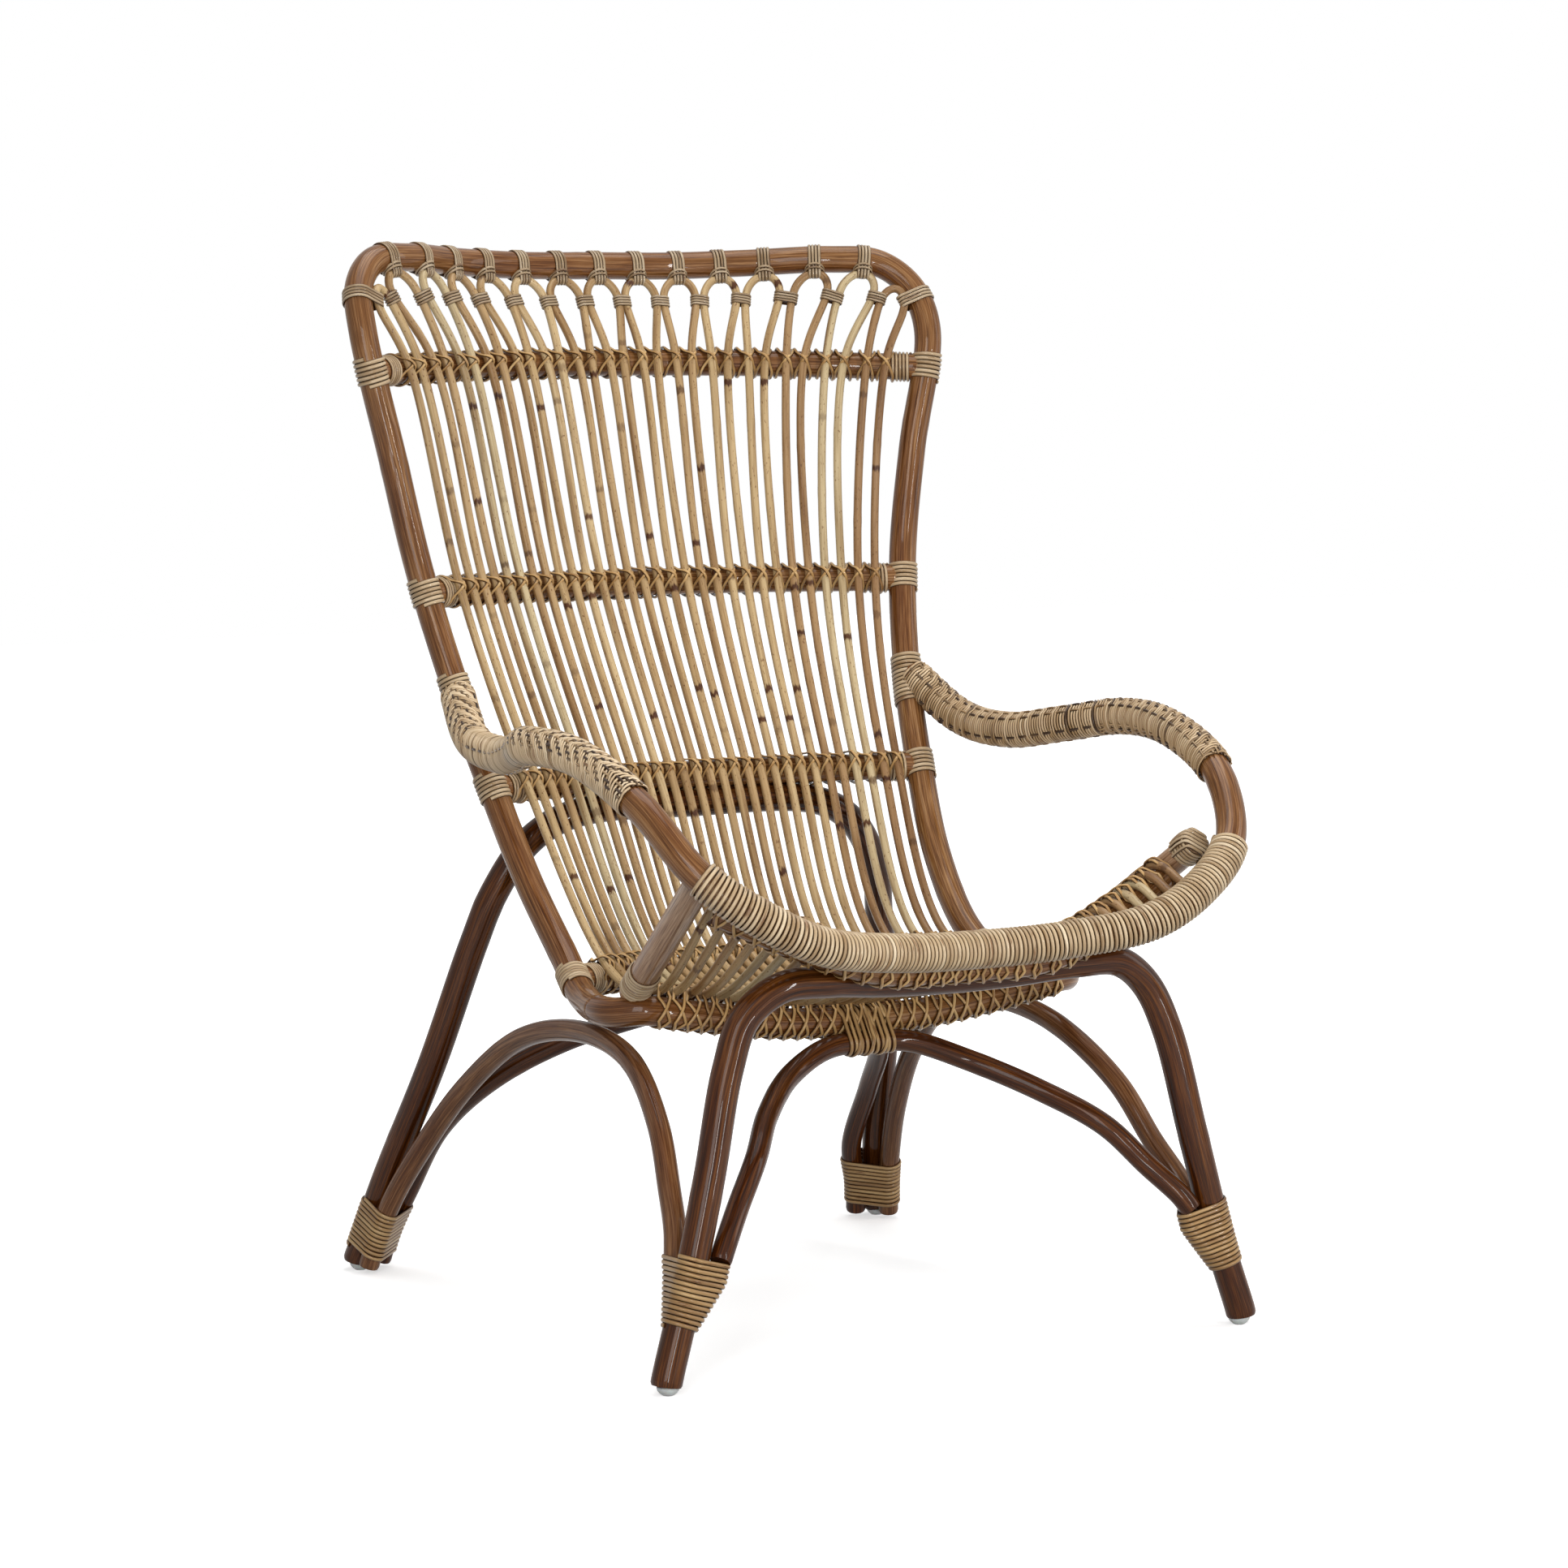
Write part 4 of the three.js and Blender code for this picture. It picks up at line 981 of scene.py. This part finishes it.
# %% Bindings of bars, arms and struts
COIL_IN = 0.0255
for level in bars:
    bind_both(f"bar_binding_{level}", post, bar_at[level], 6, POLE)
bind_both("arm_binding", post, place(post, 2, 0.582), 12, POLE)
bind_both("strut_binding", strut, 0.031, 8, STRUT)
coils = []
for line in bars.values():
    for spot in (COIL_IN, lengths(line)[-1] - COIL_IN):
        coils.append(bind(line, spot, 5, BAR, pitch=0.0038, width=0.0034))
settle("bar_end_coils", joined(coils), "golden_cane")
print("bindings done, bar coils:", len(coils))

# %% [markdown]
# ## A strand pulled tight round several poles
# At each foot one strand binds three poles, and in the middle of the front one binds two. A tight
# strand lies on whichever pole stands out furthest on that side, and runs straight from one to the next.
# So for each way out we ask which round section reaches furthest that way and step onto it.

# %% The tight strand helpers
NEARBY = 0.09


def around(centres, radii, angle, rise):
    way = np.array((math.cos(angle), math.sin(angle)))
    reach = centres @ way + radii
    best = int(reach.argmax())
    return centres[best] + way * (radii[best] + rise), way


def through_plane(path, centre, way):
    """Where a path goes through the plane square to a way, near a centre."""
    gap = (path - centre) @ way
    near = np.linalg.norm(path - centre, axis=1) < NEARBY
    hit = np.flatnonzero((gap[:-1] * gap[1:] <= 0) & near[:-1])
    if len(hit) == 0:
        return None
    first = hit[0]
    return path[first] + (path[first + 1] - path[first]) * gap[first] / (gap[first] - gap[first + 1])


def strands(name, turns, width, thickness, finish, tones=None):
    """Flat-backed cane along paths, each given with its ways out."""
    line = chain(name, [path for path, outs in turns], [outs for path, outs in turns], tones)
    return grow(
        line, sweep, Width=width, Thickness=thickness, Back=0.0, Corners=CANE_CORNERS, Material=finish
    )


print("a pole counts for a strand within", NEARBY, "m")

# %% Foot wraps
# Below an arch's end the strand closes in on the leg alone, from the arch's place at the wrap's top.
WRAP_TOP = 0.103
FOOT_PITCH = 0.0044


def foot_sections(leg, braces, height, low):
    spot = place(leg, 2, height)
    centre, way = walk(leg, spot), -heading(leg, spot)
    across = square(np.array((1.0, 0, 0)), way)
    upward = np.cross(way, across)
    centres, radii = [np.zeros(2)], [LEG]
    for brace, offset in braces:
        hit = through_plane(brace, centre, way)
        radius = ARCH
        if hit is None:
            share = np.clip((WRAP_TOP - height) / (WRAP_TOP - low), 0, 1)
            hit = centre + offset * (1 - share)
            radius = ARCH + (LEG - ARCH) * share
        centres.append(np.array(((hit - centre) @ across, (hit - centre) @ upward)))
        radii.append(radius)
    return centre, across, upward, np.array(centres), np.array(radii)


def foot_wrap(leg, braces, low, turns, steps=44):
    path, outs = [], []
    for step in range(turns * steps + 1):
        turn = step / steps
        height = low + turn * FOOT_PITCH
        centre, across, upward, centres, radii = foot_sections(leg, braces, height, low)
        spot, way = around(centres, radii, 2 * math.pi * turn, CLEAR)
        path.append(centre + across * spot[0] + upward * spot[1])
        outs.append(across * way[0] + upward * way[1])
    tone = chance.random(turns + 1)[np.arange(turns * steps + 1) // steps]
    return np.array(path), np.array(outs), tone


front_braces = ((side_arch, behind_leg), (front_arch, inside_leg))
rear_braces = ((side_arch, ahead_of_leg), (rear_arch, inside_leg))
for end, leg, braces, low, turns in (
    ("front", front_right, front_braces, 0.058, 14), ("rear", rear_right, rear_braces, 0.024, 11),
):
    path, outs, tone = foot_wrap(leg, braces, low, turns)
    for hand, flip in HANDS:
        turned = [(path * (flip, 1, 1), outs * (flip, 1, 1))]
        mesh = strands(f"foot_{end}_{hand}", turned, 0.0046, 0.0020, cane_foot, [tone])
        settle(f"foot_wrap_{end}_{hand}_cane", mesh, "golden_cane", f"foot_wrap_{end}_{hand}")
print("foot wraps done, last strand", round(lengths(path)[-1], 2), "m long")


# %% Lashing of the front arch
def arch_strand(start, end, turns, rise, steps=40):
    path, outs = [], []
    for step in range(turns * steps + 1):
        x = start + (end - start) * step / (turns * steps)
        cores = np.array([walk(line, place(line, 0, x)) for line in (lower_hoop, front_arch)])
        radii = np.array((POLE, ARCH))
        spot, way = around(cores[:, 1:], radii, 2 * math.pi * step / steps, rise)
        path.append((x, *spot))
        outs.append((0, *way))
    return np.array(path), np.array(outs)


turns = [arch_strand(-0.0265, 0.0265, 9, 0.0004), arch_strand(0.022, -0.022, 3, 0.0016)]
mesh = strands("arch_lashing", turns, 0.0046, 0.0015, cane_tie)
settle("arch_lashing_cane", mesh, "golden_cane", "arch_lashing")
print("arch lashing strands:", len(turns))

# %% [markdown]
# ## Woven arms
# Each arm is covered in cane. One strand winds round it from end to end, and narrow strips lie along
# the top and the bottom, coloured very dark as painted shade of the gaps where they dive. The strand
# goes over three strips and under two, the order shifts by one at each turn, and each turn slants on
# top, which draws a herringbone. Halfway along the arm only a row of stitches shows on each side, and
# one more row runs all along the inner side. A picture of a weave would look flat on the arm's
# outline, so the strand and the strips really rise and sink past each other. The right cover's turns
# are coloured darker, which is painted shade, as that arm is seen from its shaded inner side.

# %% Rules of the weave
WEAVE_PITCH = 0.0032
STRIP_STEP, INNER_ROW = 15.5, -80
TOP_STRIPS = np.radians((INNER_ROW, *np.arange(-3, 4) * STRIP_STEP))
BOTTOM_STRIPS = np.pi + np.radians(np.arange(-2, 3) * STRIP_STEP)
STRIP_GRIP = np.radians(8)
PLAIN_FROM, PLAIN_TO = 0.42, 0.80
LOW_LAY, HIGH_LAY = 0.0149, 0.0165
CHEVRON, CHEVRON_SPREAD, CHEVRON_FADE = 0.011, math.radians(56), 0.03
LEAN = math.radians(32)


def ranks(strips):
    """The strips' numbers, with 0 in the middle of the braid."""
    return np.arange(len(strips)) - len(strips) // 2


def goes_over(turn, rank, strips, turns):
    number = np.floor(turn + 0.25).astype(int)
    widest = (len(strips) - 1) // 2
    braid = (number + np.abs(rank)) % 5 < 3
    stitched = (np.abs(rank) < widest) | (number % 5 < 2)
    middle = (number > PLAIN_FROM * turns) & (number < PLAIN_TO * turns)
    return np.where(middle | (np.abs(rank) > widest), stitched, braid)


def chevron(angle, far, whole):
    """How far a turn runs ahead along the top of the arm, which slants it to a herringbone."""
    fade = np.clip(np.minimum(far, whole - far) / CHEVRON_FADE, 0, 1)
    return CHEVRON * fade * np.clip(1 - np.abs(angle) / CHEVRON_SPREAD, 0, 1)


def softened(lay, share):
    """Heights that ease into each other, as cane can't step."""
    return np.convolve(np.pad(lay, 1, mode="edge"), (share, 1 - 2 * share, share), mode="valid")


def sides_of(path, far, whole):
    """At each distance, the way to the braid's middle, which leans outward, and the way beside it."""
    way = heading(path, np.clip(far, STEP, whole - STEP))
    up = square(np.array((0, 0, 1.0)), way)
    aside = np.cross(way, up)
    return up * math.cos(LEAN) + aside * math.sin(LEAN), aside * math.cos(LEAN) - up * math.sin(LEAN)


print("strips on top:", len(TOP_STRIPS), "and below:", len(BOTTOM_STRIPS))

# %% Strand and strips of an arm
DARK_SHARE, DARK_TONE = 0.14, -0.9


def arm_strand(path, turns, whole, steps=44):
    turn = np.arange(turns * steps + 1) / steps
    angle = 2 * np.pi * turn
    spread = (angle + np.pi / 2) % (2 * np.pi) - np.pi / 2
    far = turn / turns * whole
    far = far + chevron(spread, far, whole)
    lay = np.full(len(turn), (LOW_LAY + HIGH_LAY) / 2)
    for strips in (TOP_STRIPS, BOTTOM_STRIPS):
        near = np.abs(spread[:, None] - strips).argmin(1)
        over = goes_over(turn, ranks(strips)[near], strips, turns)
        meets = np.abs(spread - strips[near]) < STRIP_GRIP
        lay = np.where(meets, np.where(over, HIGH_LAY, LOW_LAY), lay)
    up, aside = sides_of(path, far, whole)
    outs = up * np.cos(angle)[:, None] + aside * np.sin(angle)[:, None]
    tones = np.where(chance.random(turns + 2) < DARK_SHARE, DARK_TONE, chance.random(turns + 2))
    strand = walk(path, far) + outs * softened(lay, 0.25)[:, None]
    return strand, outs, tones[np.floor(turn).astype(int)]


def arm_strip(path, turns, whole, angle, rank, strips):
    turn = np.arange(turns * 2) / 2
    far = (turn + angle / (2 * np.pi)) / turns * whole
    far = np.clip(far + chevron(angle, far, whole), 0.001, whole - 0.001)
    over = goes_over(turn, rank, strips, turns)
    lay = softened(np.where(over, LOW_LAY, HIGH_LAY + 0.0002), 0.2)
    up, aside = sides_of(path, far, whole)
    out = up * math.cos(angle) + aside * math.sin(angle)
    # The strips get a tone far below the strand's, so they come out very dark: painted shade of the gaps
    # where they dive under the strand.
    return walk(path, far) + out * lay[:, None], out, np.full(len(far), 0.3 * chance.random() - 1.7)


print("share of dark turns:", DARK_SHARE)

# %% Weave the arms
# Painted shade: the right cover's turns are coloured darker, as that arm is seen from its shaded inner
# side. The very dark strips and turns keep their tone.
RIGHT_PAINTED_SHADE, LEFT_PAINTED_SHADE = -0.8, 0.0
cover = stretch(arm, place(arm, 1, at(0, -247, 0)[1]), lengths(arm)[-1] - 0.012)
whole = lengths(cover)[-1]
turns = int(whole / WEAVE_PITCH)
strand = arm_strand(cover, turns, whole)
strips = [
    arm_strip(cover, turns, whole, angle, rank, group)
    for group in (TOP_STRIPS, BOTTOM_STRIPS) for angle, rank in zip(group, ranks(group))
]
for (hand, flip), shade in zip(HANDS, (RIGHT_PAINTED_SHADE, LEFT_PAINTED_SHADE)):
    meshes = []
    for parts, width in (([strand], 0.0027), (strips, 0.0026)):
        turned = [(path * (flip, 1, 1), outs * (flip, 1, 1)) for path, outs, tone in parts]
        tones = [np.where(tone > 0, tone + shade, tone) for path, outs, tone in parts]
        meshes.append(strands(f"weave_{hand}", turned, width, 0.0019, cane_weave, tones))
    settle(f"arm_weave_{hand}_cane", joined(meshes), "pale_weave", f"arm_weave_{hand}")
print("arm cover", round(whole, 3), "m long, turns", turns)

# %% [markdown]
# ## Cross lashings
# Where a rod passes a bar, two strands cross over it and close behind the bar. We write one such loop
# as a turn round the bar that swings to one side as it goes and climbs over the rod. The second loop
# swings the other way, a cane's thickness further out. Under the seat the loops swing twice in a
# turn, so they cross on the sides of the bar too, where one sees them.

# %% Lash every crossing
LOOSENESS = 0.8


def lash_loop(core, way, run, reach, radius, slant, rise, swings):
    turn = np.linspace(-np.pi, np.pi, 49)
    nearest = np.minimum(np.abs(turn), np.pi - np.abs(turn))
    aside = slant * np.sign(turn) * np.sin(np.minimum(1.5 * nearest, np.pi / 2))
    if swings == 2:
        aside = slant * 2 / np.pi * np.arcsin(np.sin(2 * turn))
    on_bar = (radius + rise) * np.cos(turn)
    over_rod = reach + np.sqrt(np.maximum(ROD**2 - aside**2, 0)) + rise + 0.0005
    on_rod = (np.abs(aside) < ROD) & (np.abs(turn) < np.pi / 3)
    out = np.where(on_rod, over_rod, on_bar)
    for _ in range(2):
        out[1:-1] = np.convolve(out, (0.25, 0.5, 0.25), mode="valid")
    upward = np.cross(way, run)
    level = (radius + rise) * np.sin(turn)
    spokes = out[:, None] * way + level[:, None] * upward
    return core + aside[:, None] * run + spokes, unit(spokes)


for name, radius, slant, swings in (
    ("top", BAR, 8.0, 1), ("middle", BAR, 7.4, 1), ("lower", BAR, 6.6, 1),
    ("seat", BAR, 5.5, 2), ("hoop", POLE, 5.6, 2), ("rim", RIM, 5.2, 2),
):
    turns = []
    for core, way, run, reach in crossings[name]:
        for hand, rise in ((1, CLEAR), (-1, 0.0014)):
            loose = 0.001 * (slant + chance.normal() * LOOSENESS) * hand
            turns.append(lash_loop(core, way, run, reach, radius, loose, rise, swings))
    mesh = strands(f"lash_{name}", turns, 0.0036, 0.0021, cane_tie)
    settle(f"cross_lashing_{name}", mesh, "golden_cane")
    print("cross lashings on", name, len(turns), "loops")

# %% [markdown]
# ## Ties of the loops
# Each bend hangs on the top rail by a strap of four strands round both, and a collar of two turns
# pinches the strap under the rail. Neighbouring bends are tied to each other where their sides come
# close. These are tight strands again, round two sections each, so the same helper draws them.

# %% Straps on the rail
FOUR = np.arange(4)


def tie(flip, centre, axis, across, cores, radii, offsets, steps=30):
    """Closed turns round some sections in planes square to an axis, or the same on the left side."""
    turned = np.array((flip, 1, 1))
    centre, axis, across = centre * turned, axis * turned, across * turned
    upward = np.cross(axis, across)
    offs = [core * turned - centre for core in cores]
    flat = np.array([(off @ across, off @ upward) for off in offs])
    angles = [2 * math.pi * step / steps for step in range(steps + 1)]
    ring = [around(flat, np.array(radii), angle, CLEAR) for angle in angles]
    turns = []
    for offset in offsets:
        path = [centre + axis * offset + across * spot[0] + upward * spot[1] for spot, way in ring]
        outs = [across * way[0] + upward * way[1] for spot, way in ring]
        turns.append((np.array(path), np.array(outs)))
    return turns


turns = []
for number, (apex, way, run, below, width, height) in enumerate(loops[:LOOPS_A_SIDE]):
    core = apex - way * (POLE + ROD + CLEAR)
    front = np.cross(run, way)
    collar = 2 * np.pi * np.linspace(0, 1, 25)[:, None]
    outward = run * np.cos(collar) + front * np.sin(collar)
    for flip in (1, -1) if number else (1,):
        turns += tie(flip, core, run, way, [core, apex], (POLE, ROD), (FOUR - 1.5) * 0.0034)
        for level, deep in ((0.0140, 0.0102), (0.0172, 0.0083)):
            spokes = run * 0.0090 * np.cos(collar) + front * deep * np.sin(collar)
            turns.append(((core + way * level + spokes) * (flip, 1, 1), outward * (flip, 1, 1)))
settle("rail_straps", strands("rail_straps", turns, 0.0034, 0.0015, cane_golden), "golden_cane")
print("rail strap strands:", len(turns))


# %% Ties between neighbouring bends
def side_of(loop, hand):
    """The place on a bend's outer side, or on its inner side for -1, and the way down from there."""
    apex, way, run, below, width, height = loop
    return apex + below * height + hand * run * width, below


turns = []
for one, other in zip(loops, loops[1:]):
    (mine, down), (theirs, other_down) = side_of(one, 1), side_of(other, -1)
    axis = unit(down + other_down)
    theirs = theirs - axis * ((theirs - mine) @ axis)
    across = unit(theirs - mine)
    middle = (mine + theirs) / 2
    for hand, flip in HANDS:
        turns += tie(flip, middle, axis, across, [mine, theirs], (ROD, ROD), FOUR * 0.0030 - 0.002)
settle("bend_ties", strands("bend_ties", turns, 0.0030, 0.0014, cane_golden), "golden_cane")
print("ties between bends:", len(turns) // len(FOUR))

# %% [markdown]
# ## Tops of the struts
# Each strut ends against the arm hoop and a short coil holds it there. On the right one the cut end
# faces us, and a strap of strands goes over it, from the strut's far side down into the front wrap.

# %% Coils and strap
COIL_PITCH, STRAND = 0.0042, 0.0044
coils = [
    bind(strut, strut_end - 0.0105, 5, STRUT, pitch=COIL_PITCH, width=COIL_PITCH),
    bind(mirrored(strut), strut_end - 0.0055, 2, STRUT, pitch=COIL_PITCH, width=COIL_PITCH),
]
settle("strut_end_coils", joined(coils), "golden_cane")
tip, forth = walk(strut, strut_end), heading(strut, strut_end - 0.01)
hoop_side = hoop[np.linalg.norm(hoop - tip, axis=1).argmin()]
across = square(hoop_side - tip, forth)
upward = np.cross(forth, across)
over_end = (
    (-1, -0.020), (-1, -0.006), (-0.8, 0.0016), (0, 0.0026), (0.8, 0.0016), (1, -0.006), (1.1, -0.012)
)
turns = []
for offset in (np.arange(6) - 2.5) * STRAND:
    half_chord = math.sqrt(STRUT**2 - offset**2)
    row = tip + upward * offset
    path = bend(
        [row + across * (half_chord + 0.0022) * part + forth * along for part, along in over_end], 0.002
    )
    turns.append((path, unit(path - (row - forth * 0.012))))
settle("strut_end_strap", strands("strut_end_strap", turns, STRAND, 0.0018, cane_golden), "golden_cane")
print("strap strands:", len(turns), "coils:", len(coils))

# %% [markdown]
# ## Corners of the back
# The last bend on each side sits in the corner of the back, beside the post. Four strands strap its
# outer rod to the post, and as these are tight strands round two sections, the tie helper serves again.

# %% Corner straps
apex, way, run, below, width, height = loops[-1]
outer = apex + below * height * 0.55 + run * width * 0.9
near = place(post, 2, outer[2] + 0.004)
core, axis = walk(post, near), heading(post, near)
outer = outer - axis * ((outer - core) @ axis)
across = unit(outer - core)
turns = []
for hand, flip in HANDS:
    turns += tie(flip, core, axis, across, [core, outer], (POLE, ROD), (FOUR - 1.5) * 0.0036)
settle("corner_straps", strands("corner_straps", turns, 0.0036, 0.0016, cane_golden), "golden_cane")
reach = np.linalg.norm(outer - core)
print("corner strap strands:", len(turns), "reach", round(float(reach) * 1000, 1), "mm")

# %% [markdown]
# ## Glides
# Under each leg sits a small plastic foot, a dome that is flat where it meets the floor. A turned
# shape is a profile carried round an axis, so we lay out its rings and join them with faces.

# %% Plastic
def plastic():
    made, tree, skin = bare_finish(
        "clear_plastic_feet", Transmission_Weight=0.25, IOR=1.46, Subsurface_Weight=0.2
    )
    spot = put(tree, "ShaderNodeTexCoord").outputs["Object"]
    cloud = put(
        tree, "ShaderNodeTexNoise", ("Vector", spot), ("Scale", 260.0), ("Detail", 3.0)
    ).outputs["Fac"]
    colour = ramp(tree, cloud, (0.35, (0.70, 0.69, 0.66)), (0.65, (0.84, 0.83, 0.80)))
    tree.links.new(colour, skin.inputs["Base Color"])
    rough_and_bumped(tree, skin, cloud, 0.28, 0.46, 0.0002)
    return made


feet_plastic = plastic()
print("plastic:", feet_plastic.name)

# %% Plastic feet
PROFILE = (
    (0.0048, 0.0), (0.0056, 0.0004), (0.0080, 0.0022), (0.0098, 0.0044), (0.0105, 0.0066),
    (0.0103, 0.0080),
)
SIDES = 36
REAR_FOOT = (303, 359)
faces = []
for low in np.arange(len(PROFILE) - 1) * SIDES:
    high = low + SIDES
    for a in range(SIDES):
        b = (a + 1) % SIDES
        faces.append((low + a, low + b, high + b, high + a))
faces.append(tuple(range(SIDES))[::-1])
faces.append(tuple(range(high, high + SIDES)))
for end, (x, y) in (("front", FRONT_FOOT), ("rear", REAR_FOOT)):
    for hand, flip in HANDS:
        foot = at(flip * x, y, 0)
        points = [
            tuple(foot + (radius * math.cos(a), radius * math.sin(a), height))
            for radius, height in PROFILE for a in np.arange(SIDES) * 2 * np.pi / SIDES
        ]
        mesh = bpy.data.meshes.new(f"glide_{end}_{hand}")
        mesh.from_pydata(points, [], faces)
        mesh.polygons.foreach_set("use_smooth", [len(face) == 4 for face in faces])
        mesh.materials.append(feet_plastic)
        settle(f"glide_{end}_{hand}_foot", mesh, "clear_plastic", f"glide_{end}_{hand}")
print("plastic feet of", len(faces), "faces each")
